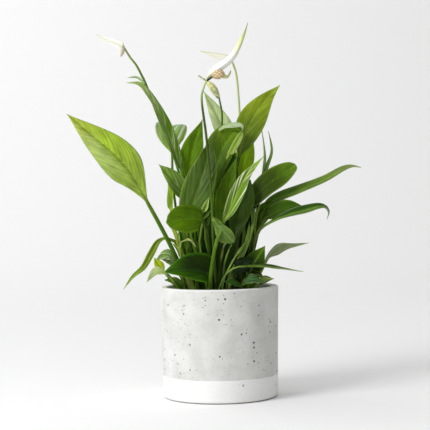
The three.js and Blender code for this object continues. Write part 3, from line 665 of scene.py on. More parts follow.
leaf("middle_streaked", [6, -23], [[3, 180, -28]],
     [[6, 216, -34], [15.5, 237, -39], [26.5, 261, -42], [38, 281, -43], [60, 304.5, -43]], 19,
     [0.1, -0.95, 0.3], "#5f8214", fold=20, rib="#90b434", ribbed=0.7, flecked=0.85, fleck="#dfe8bc",
     tip="#86a832", tip_from=0.6, stalk="#1c2c06", edge="#c4d49c", edged=0.4, vein_lean=5, vein_gap=50,
     left="#547414", belly=0.02)
leaf("middle_new", [-12, -12], [[-18, 190, -20], [-23, 222, -30]],
     [[-20.4, 231.7, -38], [-16, 241, -42], [-10.8, 252.4, -44]], 9, [0.2, -0.9, 0.3], "#a4c060", fold=30,
     wave=0.2, stalk="#24380a")
leaf("middle_deep", [3, 13], [[3, 190, 14]], [[4, 240, 12], [10, 275, 9], [20, 318, 6]], 34, [0, -0.95, 0.2],
     "#3a600c", rib="#34580c", edged=0.1, taper=0.8)
leaf("middle_pale", [-13, -46], [[-8.6, 167, -54], [-2.5, 196, -60]],
     [[3.6, 209, -64], [-1.5, 218, -67], [-7, 227.5, -68]], 13, [0.1, 0.75, 0.6], "#4c6a24", under="#56702e",
     rib="#86a048", stalk="#4a6a12", broad=0.7, taper=0.9, thick=2)
flap("middle_pale_lobe", [[-6.5, 225, -67], [4.5, 212.4, -66], [13.2, 202, -64], [20, 194.5, -62]], 24,
     [0.1, 0.75, 0.5], "#4c6a24", under="#567032", lean=0.35, fold=10, broad=1.25, taper=0.8, rib="#86a058",
     low="#7c9850")
leaf("middle_low", [-12, -34], [], [[-12, 151, -38], [-36, 160, -47], [-69, 158.5, -56]], 50,
     [-0.2, -0.8, 0.5], "#1c3004", left="#264806", fold=28, broad=0.56, taper=0.82, rib="#34542c",
     tip="#3a6406", tip_from=0.5, edge="#4c8410", edged=0.5)
leaf("middle_shaded", [-28, -9], [], [[-28, 172, -14], [-32, 188, -15], [-36, 206, -14]], 20,
     [0.2, -0.9, 0.3], "#3c6008")
leaf("middle_wilted", [-34, -19], [[-45, 165, -24], [-49, 188, -29]],
     [[-47.5, 196, -32], [-41, 198.7, -36], [-35, 197.3, -40], [-28.6, 189.7, -43]], 4.6, [0, -0.5, 0.85],
     "#8c9c3c", fold=30, wave=0.8, thick=1, rib="#b4b884", tip="#c8bc8c", tip_from=0.4, stalk="#8c9c3c",
     edge="#a08850", broad=1.3)

# ---------------------------------------------------------------- the leaves at the top
# Three blades that stand above the rest behind the flowers. Light comes to them from all round, so
# they are the palest ones.

leaf("top_right", [9, 9], [[13, 240, 18]],
     [[26, 296, 18], [33, 323, 20], [41, 343.5, 23], [52, 362, 24], [65, 378, 21], [81, 393, 16]], 37,
     [0.3, -0.9, 0.1], "#82981e", low="#54701e", tip="#8aa622", rib="#a4b844", flecked=0.3, fleck="#acbc5c",
     stalk="#2c420e", left="#8ca21c", broad=0.8, taper=1.1)
leaf("top_pale", [9, 22], [[20, 240, 38]], [[22, 300, 44], [6, 344, 48], [-16, 387, 50]], 27,
     [0.2, -0.9, 0.2], "#c0ce98", tip="#acbe86", stalk="#2c420e")
leaf("top_behind", [18, 16], [[25, 210, 28]], [[28, 262, 33], [35, 304, 38], [42, 345, 44]], 26,
     [0.1, -0.95, 0.2], "#80a60a", rib="#94b428")

# ---------------------------------------------------------------- the leaves at the right
# Long blades that arch out to the right and droop at their tips. Small ones lie in the shade below
# them, painted near black as painted shade, and two rest on the pot's rim in front.

leaf("right_hanging", [17, -29], [[20, 171, -28], [36, 250, -10]],
     [[40, 273, -9], [35, 256, -13], [28.5, 238, -19], [23, 214, -28], [19, 189, -36]], 31, [0.1, -0.9, 0.4],
     "#2e4804", low="#2c4606", tip="#122202", tip_from=0.55, rib="#40581e", left="#384e12", stalk="#2a3c0c",
     edge="#5c7c2c", edged=0.2, drawn_in=0.06)
leaf("right_broad", [15, -2], [[26, 170, -4], [33, 205, -3]],
     [[33, 234, 1], [56, 260.5, 1], [76, 276, 4], [90, 286.5, 9], [98.5, 293, 16]], 32, [-0.1, -0.85, 0.5],
     "#3c540c", broad=0.74, taper=0.55, low="#34480c", tip="#648c1c", tip_from=0.4, left="#40560e",
     rib="#54701c", stalk="#56742a", drawn_in=0.02)
leaf("right_long", [28, 7], [[46, 191, 7]],
     [[55, 232, 8], [65, 242.5, 8], [81, 251.5, 9], [105, 260.5, 11], [136, 272.5, 16], [159, 285, 20],
      [170.6, 288.7, 22], [182, 287.5, 24]], 21, [-0.3, -0.55, 0.8], "#607a28", low="#4c7010", tip="#84905e",
     tip_from=0.5, stalk="#3c5012", broad=0.62, taper=0.85, wave=0.6, drawn_in=0.03)
leaf("right_under", [26, -5], [[43, 190, -5]], [[58, 222, -6], [84, 234.5, -10], [118, 234.5, -15]], 31,
     [-0.1, -0.7, 0.7], "#3b5c08", low="#304a04", tip="#84b020", rib="#5a7c1c", stalk="#2c400c",
     drawn_in=0.02)
leaf("right_hooked", [25, -16], [[42, 185, -15]],
     [[52, 210, -18], [73, 222, -26], [91, 228.5, -31], [110, 233.5, -34], [127, 238, -35], [136, 237, -35],
      [140, 230.5, -35], [138, 222, -35]], 18, [0, -0.5, 0.85], "#4c6c24", fold=16, left="#284806",
     under="#7c9058", stalk="#2c400e", tip="#b4bca8", tip_from=0.6, edge="#a4b48c", edged=0.6, drawn_in=0.03,
     broad=0.75)
leaf("right_grey", [38, 4], [[48, 148, 5]], [[57, 165, 7], [69, 180, 9], [88, 187, 12], [114, 193, 16]], 21,
     [-0.3, 0.6, 0.75], "#64763c", under="#8a966e", low="#3c4c1c", tip="#a0aa80", wave=1.6, flecked=0.4,
     fleck="#b4bc9c")
leaf("right_thin", [-4, -40], [[6, 150, -44], [15, 159.5, -46]],
     [[25, 163.8, -48], [52, 164, -50], [78, 160.8, -51], [107, 156.5, -51]], 12, [0, -0.3, 0.95], "#78885a",
     wave=0.5, thick=1.1, stalk="#64823a", low="#3c501a", left="#2a420e", tip="#8c9878", tip_from=0.6)
# These three are painted near black, as painted shade under the long blades.
leaf("right_small", [25, -25], [[30, 142, -27]], [[36, 150, -29], [46, 153, -33], [57.5, 150, -36]], 14,
     [0, -0.7, 0.7], "#1a2a04", stalk="#1c2c0c", tip="#4c563c")
leaf("right_dark", [34, -20], [], [[38, 152, -22], [46, 170, -24], [59, 190, -20]], 26, [0.2, -0.9, 0.3],
     "#264604", low="#0e2000", tip="#4a7208", tip_from=0.5, edged=0.1)
leaf("right_shaded", [11, -37], [], [[17, 152, -37], [30, 166, -38], [44, 175, -38]], 20, [-0.2, -0.9, 0.3],
     "#0e2000", rib="#142c04", edged=0, stalk="#142404")
leaf("right_low", [37, 22], [], [[40, 150, 26], [44, 168, 32], [45, 186, 42]], 24, [0, -0.9, 0.4],
     "#8aae70")
leaf("right_narrow_1", [25, 22], [[42, 220, 20]],
     [[52, 262, 21], [59, 285, 23], [61, 305, 25], [56, 341, 27]], 10, [-0.9, -0.1, 0.3], "#98a870", fold=25,
     low="#4c6424", stalk="#34480e", wave=0.3)
leaf("right_narrow_2", [33, 15], [[48, 220, 13]],
     [[53, 256, 13], [63, 287, 15], [70, 310, 16], [65, 335, 16]], 11, [-0.9, -0.2, 0.3], "#5c7830", fold=25,
     low="#34480e", stalk="#34460e", wave=0.3)
leaf("rim_1", [21, -44], [], [[29, 138, -50], [18, 143, -58], [6, 145.5, -62]], 14, [0, -0.6, 0.8],
     "#28480e", thick=1.4, wave=0.4, rib="#3c6030", stalk="#24380c", tip="#2c5414", edge="#6c9050")
leaf("rim_2", [27, -38], [], [[30, 139, -44], [40, 147, -54], [58, 144, -56]], 19, [0, -0.6, 0.8], "#2c4c1a",
     thick=1.4, wave=0.6, rib="#54784c", stalk="#24380c", flecked=0.45, fleck="#7c9a84", vein_lean=4,
     vein_gap=16)

# ---------------------------------------------------------------- the thin stalks
# New leaves whose blades are still rolled up, and old stalks whose blades lie hidden. Each is a thin
# fleshy stalk out of the soil, which ends in a narrow blade folded along its midrib.


def shoot(number, root, points, thick, green, **more):
    """A thin stalk. Its last three points run through a small rolled blade."""
    leaf(f"shoot_{number}", root, points[:-3], points[-3:], 4 * thick, [0.2, -0.9, 0.3], green,
         **{"thick": thick, "fold": 50, "wave": 0.2, "stalk": green, "rib": green, "edged": 0.1, **more})


shoot(1, [10, -26], [[26.8, 169.8, -28], [36, 191, -24], [43, 214, -20], [43.5, 232, -17], [41, 247, -15]],
      2.1, "#66803a")
shoot(2, [23, -8], [[40, 169.6, -9], [45.5, 198, -10], [47.5, 228, -10], [56, 246, -8]], 1.5, "#7c9a40")
shoot(3, [25, -2], [[37, 169.7, -3], [42, 198, -4], [43.5, 224, -4], [43, 245, -4]], 1.6, "#64863a")
shoot(4, [-14, -20],
      [[-23.5, 191, -26], [-22.4, 205, -30], [-19.4, 222.6, -36], [-13, 231, -38], [-7, 238, -39]], 1.3,
      "#6c8a34")
shoot(5, [-9, -22], [[-11.1, 177.2, -26], [-16.2, 195.4, -30], [-16, 213.5, -36], [-13, 221, -38],
                     [-10, 229, -39]], 1.4, "#58782a")
shoot(6, [3, -35], [[6, 147.3, -36], [17.7, 171.2, -38], [26, 184, -38], [34, 195, -37]], 1.1, "#84a24c")
shoot(7, [12, -20], [[24, 172, -22], [32, 190, -24], [37, 205, -24], [40, 222, -22]], 1.2, "#7c9446")
shoot(8, [-28, -16], [[-42, 165, -20], [-50, 180, -24], [-54, 189, -26], [-60, 196, -28]], 1.3, "#8aa23c")
shoot(9, [-31, -12], [[-47, 172, -15], [-50, 190, -17], [-51, 200, -19], [-50, 214, -22]], 1.2, "#9cb060")
shoot(10, [0, -30], [[1, 160, -34], [4, 178, -37], [6, 188, -38], [9, 196, -38], [12, 203, -38]], 1.3,
      "#7c9468", stalk="#26380c")
shoot(11, [4, -28], [[6.5, 162.5, -33], [9.2, 175.1, -36], [13.1, 185.2, -38], [15.7, 191.5, -38],
                     [17, 196.6, -38]], 1, "#587830")
shoot(12, [8, -33], [[11.3, 147.2, -35], [17.8, 162.3, -36], [25.6, 176.2, -36], [32.1, 187.5, -35],
                     [37.3, 197.6, -34]], 1.1, "#54742c")

# ---------------------------------------------------------------- the leaves on the rim
# Small leaves from the plant's edge. Each has a short stalk, grows out sideways and lies on the
# pot's rim. They are painted paler, as painted light bounced up from the concrete below them.

leaf("rim_3", [-46, -14], [], [[-50, 140, -16], [-57, 146.5, -19], [-69, 149, -22]], 13, [0, -0.5, 0.85],
     "#7c9c44", thick=1.4, wave=0.5, rib="#84a05c", stalk="#3c5418", tip="#84985c")
leaf("rim_5", [-38, 6], [], [[-46, 140, 4], [-55, 145.5, 1], [-69, 148, -2]], 15, [0.1, -0.7, 0.7],
     "#6c9440", thick=1.4, wave=0.6, rib="#7c9c54", stalk="#3c5418")
leaf("rim_6", [44, 8], [], [[49, 140, 8], [57, 146, 6], [70, 148, 3]], 14, [-0.1, -0.7, 0.7], "#84a45c",
     thick=1.4, wave=0.6, rib="#8cac6c", stalk="#3c5418")
leaf("rim_4", [44, -16], [], [[49, 140, -20], [56, 146.5, -22], [69, 148, -23]], 11, [0, -0.5, 0.85],
     "#a8bc68", thick=1.3, wave=0.9, rib="#c0cc60", stalk="#5c7420", tip="#a4b07c")

# ---------------------------------------------------------------- the leaves at the back
# The photograph doesn't show these. They are waxed blades like the rest, on stalks that lean back,
# so that the plant is as full behind as it is in front.

leaf("back_1", [-18, 22], [[-26, 200, 32]], [[-30, 235, 40], [-34, 262, 60], [-36, 272, 90]], 34,
     [0, 0.4, 0.9], "#466e0c", left="#527a18")
leaf("back_2", [-1, 29], [[-3, 210, 42]], [[-6, 250, 50], [-10, 282, 68], [-12, 292, 98]], 34,
     [0, 0.5, 0.85], "#3f6208", rib="#6a8a2c")
leaf("back_3", [7, 38], [[22, 195, 44]], [[18, 228, 50], [24, 254, 70], [29, 258, 100]], 34, [0, 0.4, 0.9],
     "#4c7410", left="#446808")
leaf("back_4", [27, 31], [[33, 180, 36]], [[36, 204, 42], [42, 224, 62], [44, 226, 92]], 30, [0.1, 0.4, 0.9],
     "#56801c", tip="#7a9a3c")
leaf("back_5", [-30, 28], [], [[-33, 170, 34], [-37, 198, 42], [-38, 222, 58]], 32, [0, -0.9, 0.3],
     "#4c7416")
leaf("back_6", [-6, 38], [], [[-6, 166, 44], [-3, 196, 50], [0, 222, 64]], 34, [0, -0.9, 0.3], "#284008")
leaf("back_7", [18, 43], [], [[24, 160, 48], [30, 186, 56], [34, 208, 74]], 32, [0, -0.9, 0.3], "#3c5e0e")
leaf("back_8", [-20, 42], [[-26, 148, 48]], [[-32, 160, 56], [-42, 170, 78], [-48, 164, 104]], 28,
     [-0.1, 0.4, 0.9], "#5c8624")

# ---------------------------------------------------------------- the leaves inside
# Leaves deep among the stalks, where little light comes, painted near black as painted shade. They
# stand close together, so that no light shows through the plant, and hide the soil and the pot's far wall.


def inner(number, lean, root, passed, blade, width, green, rib, stalk, **more):
    """A leaf painted dark as painted shade, whose upper face looks to the front, and by lean to the right.
    """
    leaf(f"inner_{number}", root, passed, blade, width, [lean, -0.95, 0.2], green, rib=rib, stalk=stalk,
         edged=0.1, **more)


inner(1, 0, [-3, 6], [[-6, 185, 8]], [[-7, 210, 9], [-6, 245, 8], [-3, 296, 6]], 34, "#2e4e0c", "#2a480e",
      "#2c420c")
inner(2, 0.1, [8, 4], [[12, 178, 4]], [[15, 200, 3], [20, 236, 1], [24, 268, 0]], 36, "#2c4a0c", "#385a12",
      "#2c420c")
inner(3, -0.1, [-15, 6], [[-21, 160, 5]], [[-24, 184, 4], [-28, 212, 3], [-33, 240, 2]], 32, "#243e08",
      "#30500e", "#3c5410")
inner(4, 0.1, [5, -8], [], [[8, 160, -10], [12, 186, -11], [16, 212, -12]], 30, "#223e0a", "#2c4a0e",
      "#243808")
inner(6, -0.1, [-8, -6], [], [[-12, 178, -9], [-13, 212, -12], [-15, 246, -12]], 28, "#2c480c", "#365410",
      "#2c400c")
inner(7, 0, [2, 22], [], [[3, 152, 24], [4, 190, 26], [5, 236, 26]], 46, "#142804", "#1c3408", "#243808",
      broad=0.6)
inner(8, 0, [-16, 12], [], [[-17, 160, 13], [-17, 186, 13], [-16, 224, 13]], 30, "#1a3006", "#1c3408",
      "#243808", broad=0.6)
inner(9, 0, [27, 16], [], [[28, 150, 17], [29, 170, 18], [30, 198, 19]], 36, "#1a3006", "#1c3408", "#243808",
      broad=0.5)
inner(10, 0, [-31, 18], [], [[-32, 150, 19], [-34, 168, 19], [-35, 190, 20]], 32, "#1a3006", "#1c3408",
      "#243808", broad=0.5)
leaf("inner_11", [33, 8], [[45, 196, 8]], [[51, 212, 8], [59.5, 234, 9], [77, 252, 10]], 20, [0, -0.95, 0.3],
     "#466c10", rib="#52781a", stalk="#3c5414", edged=0.1, drawn_in=0.03)
# These stand along the pot's far wall and are painted near black, as painted shade over it.
for number, x, y in ((12, -38, 38), (13, -14, 49), (14, 8, 49), (15, 32, 41)):
    leaf(f"inner_{number}", [x, y - 2], [], [[x, 133, y], [x - 1, 141, y + 2], [x - 2, 150, y + 5]], 23,
         [0, -0.9, 0.4], "#16280a", rib="#1c3408", stalk="#1c2c0a", edged=0.1, broad=0.5, taper=0.7)
inner(5, 0.1, [24, 8], [], [[28, 158, 8], [33, 180, 7], [37, 204, 6]], 26, "#1e3406", "#2a440e", "#2c400c")
inner(16, 0.1, [21, 12], [], [[29, 178, 14], [35, 215, 15], [41, 262, 16]], 30, "#223e0a", "#2c4a0e",
      "#243808")

# ---------------------------------------------------------------- the flowers
# A flower is a smooth round stem, a knobbly spadix, which is a spike of tiny flowers packed in a
# lattice, and a spathe, the white leaf that stands behind it. A spathe has a green midrib and runs
# out into a green tip. One flower is still a bud, its spathe rolled up tight.

STEM_SIDES = 14
STEM_SPACING = 6
STEM_RIBS = (2.2, 8)  # how far the pattern of its ribs goes to the front and to the side
SPATHE_SPACING = 1.6
SPATHE_RIB = 1.1  # how far its midrib's green reaches to each side
PETAL_THICKNESS = 0.9
KNOB_RINGS = 4
KNOB_SIDES = 5
KNOB_SHARPNESS = 0.7


def flower_skin(name, stretch, shades, depth, rough, mottle, finish):
    """A smooth skin in its own tint, streaked along its veins, which stand up by depth. Where mottle
    gives a width, it also has spots of that width, in the colour and share that its points carry."""
    made, tree = new_material(name)
    tint, veins = (node(tree, "Attribute", attribute_name=kind) for kind in ("tint", "veins"))
    ribs = node(tree, "VectorMath", [veins.outputs["Vector"], stretch], operation="MULTIPLY")
    streaks = node(tree, "TexNoise", {"Vector": ribs, "Scale": 1, "Detail": 3})
    shade = node(tree, "MapRange", [streaks, 0.3, 0.7, *shades])
    colour = node(tree, "Mix", {0: 1, 6: tint, 7: shade}, blend_type="MULTIPLY")
    if mottle:
        fleck = node(tree, "Attribute", attribute_name="fleck")
        place = node(tree, "TexCoord").outputs["Object"]
        spots = node(tree, "TexNoise", {"Vector": place, "Scale": 1 / (mottle * MM), "Detail": 2})
        spotted = node(tree, "MapRange", [spots, 0.45, 0.6])
        share = node(tree, "Math", [spotted, fleck.outputs["Alpha"]], operation="MULTIPLY")
        colour = node(tree, "Mix", {0: share, 6: colour, 7: fleck})
    bump = node(tree, "Bump", {"Height": streaks, "Distance": depth * MM})
    dull = node(tree, "MapRange", [streaks, 0, 1, *rough])
    shader = node(tree, "BsdfPrincipled", {
        "Base Color": colour, "Roughness": dull, "Normal": bump, **finish})
    node(tree, "OutputMaterial", [shader])
    return made


# Stem: the same waxy cuticle as the leaves on a smooth round stalk, with faint lengthwise ribs about
# 0.6 mm apart.
stem_skin = flower_skin("waxed flower stem", (2.5, 0.02, 0.6), (0.86, 1.14), 0.15, (0.36, 0.52), 0, {
    "Subsurface Weight": 0.1, "Subsurface Radius": (0.5, 1, 0.2), "Subsurface Scale": 1.5 * MM,
    "Specular IOR Level": 0.15})

# Spathe: a soft white petal without wax. Light goes through it, and its veins run lengthwise, faintly
# greener, about 1.5 mm apart.
petal_skin = flower_skin("soft white spathe", (0, 0.03, 0.65), (0.92, 1.03), 0.3, (0.45, 0.6), 2.6, {
    "Subsurface Weight": 0.15, "Subsurface Radius": (1, 1, 0.7), "Subsurface Scale": 1 * MM})

# Spadix: hundreds of tiny matt flowers, cream at their tips and painted darker and browner in the gaps
# between them, as painted shade.
POLLEN = 0.6
spadix_skin, tree = new_material("floury cream spadix")
tint = node(tree, "Attribute", attribute_name="tint")
place = node(tree, "TexCoord").outputs["Object"]
pollen = node(tree, "TexNoise", {"Vector": place, "Scale": 1 / (POLLEN * MM), "Detail": 3})
shade = node(tree, "MapRange", [pollen, 0.3, 0.7, 0.85, 1.1])
cream = node(tree, "Mix", {0: 1, 6: tint, 7: shade}, blend_type="MULTIPLY")
bump = node(tree, "Bump", {"Height": pollen, "Distance": 0.2 * MM})
shader = node(tree, "BsdfPrincipled", {
    "Base Color": cream, "Roughness": 0.85, "Normal": bump, "Subsurface Weight": 0.1,
    "Subsurface Radius": (1, 0.8, 0.5), "Subsurface Scale": 1 * MM})
node(tree, "OutputMaterial", [shader])


def stripes(along, points):
    """Colours that change along a piece, from a code for each of some parts of its way."""
    colours = np.array([linear(code)[:3] for code in points.values()])
    return np.stack([np.interp(along, list(points), channel) for channel in colours.T], axis=-1)


def with_alpha(colours, alpha=1):
    return np.concatenate([colours, alpha + 0 * colours[..., :1]], axis=-1)


def round_rings(points, stops, radii, sides):
    """Round rings along a way. Gives each point, how far along it lies, and its turn around."""
    at, side, up = frames_along(points, stops, stops[len(stops) // 2], (0, -1, 0))
    turns = np.linspace(0, 2 * np.pi, sides, endpoint=False)
    rings = (at[:, None] + side[:, None] * (radii * np.cos(turns))[..., None]
             + up[:, None] * (radii * np.sin(turns))[..., None])
    return rings, lengths(at)[:, None] + 0 * turns, turns + 0 * stops[:, None]


# A stem's colours along its way are mostly painted light and shade: darker where it stands in shade, paler
# where light falls on it. The pale green under a spathe is the stem's own.
def stem(name, root, points, thick, colours):
    points = way_out(root, points)
    stops = even_stops(points, 0, len(points) - 1, STEM_SPACING, 12)
    part = np.linspace(0, 1, len(stops))[:, None]
    radii = np.interp(part, [0, 0.3, 0.8, 1], [thick * 1.15, thick, thick, thick * 0.8])
    rings, gone, turns = round_rings(points, stops, radii, STEM_SIDES)
    piece = grown_piece(f"{name}_stem", "stem", rings, stem_skin,
                        tint=with_alpha(stripes(part + 0 * gone, colours), 0.6),
                        veins=np.stack([STEM_RIBS[0] * np.sin(turns), gone,
                                        STEM_RIBS[1] * np.cos(turns)], axis=-1))
    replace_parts(piece, f"flower_{name}_stem")


def spathe(name, points, width, face, colours, rib="#a9bd6a", ribbed=0.45, **more):
    """The white leaf behind a spadix. Its face is the hollow side, towards which its halves fold."""
    rings, part, veins = blade_rings(fronts(points), 0, {
        **PLAIN_LEAF, "fold": 36, "wave": 0.5, "thick": PETAL_THICKNESS, "drawn_in": 0, "phase": 0,
        "spacing": SPATHE_SPACING, "own_pattern": 0, "width": width, "face": face, **more})
    white = painted_over(stripes(part, colours), rib, ribbed * np.exp(-(veins[..., 2] / SPATHE_RIB) ** 2))
    piece = grown_piece(f"{name}_spathe", "spathe", rings, petal_skin, veins=veins, tint=with_alpha(white),
                        fleck=np.zeros((*part.shape, 4)))
    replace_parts(piece, f"flower_{name}_spathe")


def spadix(name, points, shape, spacing, tips, gaps, plain):
    """A spike with knobs in a lattice, spacing apart. shape has the part of the way, the radius and how
    far the knobs stand out there. Where they don't, it has the plain colours."""
    points = fronts(points)
    stops = even_stops(points, 0, len(points) - 1, spacing / KNOB_RINGS, 30)
    part = np.linspace(0, 1, len(stops))[:, None]
    places, radii, heights = zip(*shape)
    radius, height = np.interp(part, places, radii), np.interp(part, places, heights)
    columns = round(2 * np.pi * max(radii) / spacing)
    turns = np.linspace(0, 2 * np.pi, columns * KNOB_SIDES, endpoint=False)
    rows = np.pi * lengths(points)[-1] * part / spacing
    knob = (np.cos(columns / 2 * turns + rows) * np.cos(columns / 2 * turns - rows)) ** 2
    knob = knob ** KNOB_SHARPNESS * (height > 0)
    rings = round_rings(points, stops, radius + height * (knob - 0.5), len(turns))[0]
    # The gaps between the knobs are painted darker, as painted shade between them.
    knobbly = painted_over(np.array(linear(gaps)[:3]), tips, knob)
    colours = stripes(part + 0 * knob, plain)
    colours = colours + (knobbly - colours) * np.clip(height / max(heights), 0, 1)[..., None]
    piece = grown_piece(f"{name}_spadix", "spadix", rings, spadix_skin, tint=with_alpha(colours))
    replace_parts(piece, f"flower_{name}_spadix")


# The shape of a young spadix: a short smooth foot, an even body and a blunt end.
YOUNG_SPADIX = [(0, 0.8, 0), (0.12, 2.7, 0.2), (0.3, 3.6, 0.5), (0.6, 3.6, 0.5), (0.85, 2.4, 0.4),
                (1, 0.5, 0)]

stem("left", [-17, 12],
     [[-32, 200, 15], [-51, 292, 15], [-75.5, 359, 12], [-88.5, 395.6, 8], [-94.5, 409, 7], [-101, 421.5, 6],
      [-107, 429, 6], [-112, 437, 5], [-117, 446, 5]], 1.6, {0: "#7c9a4a", 0.4: "#4f7428", 0.8: "#44661a",
     0.9: "#5c7a28", 0.97: "#8c9c54", 1: "#b4b88c"})
spathe("left", [[-116.5, 445.5, 4], [-123, 448, 3], [-132, 451.5, 2], [-142, 455.3, 1], [-150.7, 460.5, 0]],
       11, [-0.45, -0.75, 0.2], {0: "#d8d8c0", 0.08: "#f0f0e4", 0.25: "#f8f8f0", 0.6: "#f4f4ea",
       0.86: "#eef0e0", 0.93: "#dfe6cc", 1: "#c4cca4"}, rib="#d8d4b4", ribbed=0.4, fold=14, broad=0.45,
       taper=0.9)
spadix("left", [[-117.5, 443.5, 4], [-119, 438, 1], [-121.5, 431.5, -2]], YOUNG_SPADIX, 1.8, "#f2efe6",
       "#d0c4b0", {0: "#d8d0b0", 1: "#e8e2d4"})

stem("front", [-3, -33],
     [[-6.5, 190, -46], [-8, 250, -51], [-12.7, 322, -48], [-18.3, 372, -45], [-17, 388, -44],
      [-12.5, 399, -44]], 1.55, {0: "#3c5418", 0.25: "#2c4410", 0.4: "#4c6a1c", 0.55: "#3c560e",
     0.72: "#344c08", 0.88: "#3c5612", 0.93: "#7c9450", 0.98: "#b4c48c", 1: "#c4cc9c"})
spathe("front",
       [[-12, 402.3, -42], [-2.5, 407.5, -39], [8.5, 414.5, -37], [19, 422.5, -36], [26.5, 432, -36],
        [33, 446, -36], [37.5, 459, -37], [41, 472.5, -38]], 19, [-0.62, -0.55, 0.55], {0: "#dfe3c4",
       0.1: "#f8f8ec", 0.2: "#ffffff", 0.5: "#fffff8", 0.62: "#f0f2d0", 0.8: "#d0d890", 1: "#7c8a44"},
       rib="#8a9848", ribbed=0.6, fold=50, broad=0.62, taper=1.1)
# The foot of the front spadix is painted near black, as painted shade on it.
spadix("front", [[-11.6, 399.9, -44.6], [-8.5, 401.8, -45.5], [-3.6, 405.2, -46], [1.9, 407.4, -46],
                 [7, 407, -46], [10.3, 404.8, -45], [14, 404.4, -44], [17, 407.6, -43], [18.9, 412.4, -42]],
       [(0, 1.2, 0), (0.2, 1.2, 0), (0.25, 3, 0.5), (0.33, 5.4, 1), (0.45, 6.2, 1.1), (0.53, 5.6, 1),
        (0.59, 3.6, 0.3), (0.63, 2.6, 0), (0.8, 1.6, 0), (0.93, 0.8, 0), (1, 0.3, 0)], 5, "#fbf4dc",
       "#b08c48", {0: "#14160a", 0.19: "#1c1e0e", 0.24: "#a08848", 0.57: "#c0a868", 0.64: "#ccc890",
       0.82: "#c8c894", 0.93: "#6c6c3c", 1: "#3c3c24"})

stem("back", [13, 30], [[24, 220, 38], [29, 330, 40], [28.5, 372, 40], [25.8, 407, 39], [20.5, 424, 38]],
     1.4, {0: "#7d9c4c", 0.4: "#8ca460", 0.8: "#b4c28c", 0.93: "#a8b86c", 0.98: "#8ca03c", 1: "#a8b46c"})
spathe("back", [[18.5, 428, 37], [9, 432, 37], [-4, 434.5, 36], [-20, 437, 35]], 19, [-0.2, 0.35, -0.9],
       {0: "#c8c49c", 0.12: "#efeedd", 0.3: "#f4f2e2", 0.75: "#f2f0dc", 1: "#d9dab2"}, fold=30)
spadix("back", [[20, 426.5, 39], [18.5, 428.5, 44], [15, 430, 55]], YOUNG_SPADIX, 1.8, "#ece4c8", "#b8a27c",
       {0: "#c8c49c", 1: "#d8d0b0"})

stem("bud", [-8, 24], [[-2, 240, 29], [5, 325, 31], [7, 356, 31], [3.4, 378.5, 30]], 1.4, {0: "#5c7838",
     0.5: "#3c5c1c", 1: "#4c6a24"})

# The bud's spathe is one leaf rolled up tight round its spadix, so it shows as a spindle with folds.
BUD_BODY = 0.7  # the part of its length that is swollen
BUD_RADIUS = 4.6
BUD_SIDES = 40
BUD_FOLDS = 7
FOLD_HEIGHT = 0.25
BUD_VEINS = 8  # how far the pattern of its veins goes to the side
bud = fronts([[3.4, 377, 30], [-2.2, 388, 29], [-8, 395.5, 28], [-14, 401, 28], [-22.3, 406.3, 27]])
stops = even_stops(bud, 0, len(bud) - 1, 1.2, 30)
part = np.linspace(0, 1, len(stops))[:, None]
swollen = np.sin(np.pi * np.clip(part / BUD_BODY, 0, 1)) ** 0.8
folds = FOLD_HEIGHT * np.cos(BUD_FOLDS * np.linspace(0, 2 * np.pi, BUD_SIDES))
radii = PETAL_THICKNESS + (BUD_RADIUS - PETAL_THICKNESS) * swollen + folds
rings, gone, turns = round_rings(bud, stops, radii, BUD_SIDES)
greens = stripes(part + 0 * gone, {0: "#7c8c50", 0.25: "#98a26c", 0.5: "#c0be70", 0.66: "#bcc064",
                                   0.72: "#98ac58", 0.95: "#7c8c3c", 1: "#4c4c24"})
spots = np.zeros((*gone.shape, 3)) + linear("#dcdcae")[:3]
bud_piece = grown_piece("bud_spathe", "spathe", rings, petal_skin, tint=with_alpha(greens),
                        fleck=with_alpha(spots, 0.8),
                        veins=np.stack([gone, gone, BUD_VEINS * np.cos(turns)], axis=-1))
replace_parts(bud_piece, "flower_bud_spathe")

# ---------------------------------------------------------------- the floor and the light
# Matt white paper that runs back over the floor and curves up behind. A large soft lamp stands at
# the left in front, a little above the plant, and the room is paler on that side.

PAPER_WIDTH = 24000
PAPER_FRONT = -14000
PAPER_BACK = 3000
SWEEP_RADIUS = 1200
PAPER_TOP = 4600
FIBRE = 3

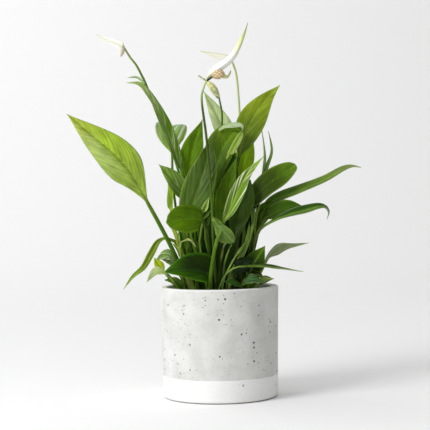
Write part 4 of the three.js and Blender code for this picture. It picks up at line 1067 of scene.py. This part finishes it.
sweep = [(PAPER_FRONT, 0), (PAPER_BACK - SWEEP_RADIUS, 0)]
for turn in np.radians(np.linspace(5, 90, 18)):
    sweep.append((PAPER_BACK - SWEEP_RADIUS * (1 - math.sin(turn)), SWEEP_RADIUS * (1 - math.cos(turn))))
sweep.append((PAPER_BACK, PAPER_TOP))
paper_points = [(side * PAPER_WIDTH / 2 * MM, y * MM, z * MM) for y, z in sweep for side in (-1, 1)]
paper_faces = [(left, left + 1, left + 3, left + 2) for left in range(0, len(paper_points) - 2, 2)]
paper = bpy.data.meshes.new("paper")
paper.from_pydata(paper_points, [], paper_faces)
paper.shade_smooth()
paper_skin, tree = new_material("matt white background paper")
place = node(tree, "TexCoord").outputs["Object"]
fibre = node(tree, "TexNoise", {"Vector": place, "Scale": 1 / (FIBRE * MM), "Detail": 2})
white = node(tree, "Mix", {0: fibre, 6: linear("#f8f8f8"), 7: linear("#fbfbfb")})
shader = node(tree, "BsdfPrincipled", {"Base Color": white, "Roughness": 0.9, "Specular IOR Level": 0.1})
node(tree, "OutputMaterial", [shader])
paper.materials.append(paper_skin)
floor = bpy.data.objects.new("paper_sweep", paper)
bpy.context.collection.objects.link(floor)

room = bpy.data.worlds.new("studio")
room.use_nodes = True
room.node_tree.nodes.clear()
tree = room.node_tree
way = node(tree, "SeparateXYZ", [node(tree, "TexCoord").outputs["Generated"]])
from_left = node(tree, "MapRange", [way, -1, 0.5, 1.05, 0.34])
sky = node(tree, "Background", {"Color": (1, 1, 1, 1), "Strength": from_left})
node(tree, "OutputWorld", [sky])
bpy.context.scene.world = room


def lamp(name, spot, aim, size, power):
    """A square soft lamp at spot that points at aim, in mm."""
    data = bpy.data.lights.new(name, "AREA")
    data.size = size * MM
    data.energy = power
    placed = bpy.data.objects.new(name, data)
    spot, aim = Vector(spot), Vector(aim)
    turned = (aim - spot).to_track_quat("-Z", "Y").to_matrix().to_4x4()
    placed.matrix_world = Matrix.Translation(spot * MM) @ turned
    bpy.context.collection.objects.link(placed)


lamp("left_softbox", (-1560, -1400, 1300), (0, 0, 200), 1000, 35)
lamp("background_lamp", (-1700, 1400, 2500), (-700, 3000, 900), 900, 17)
bpy.context.scene.view_settings.view_transform = "Standard"
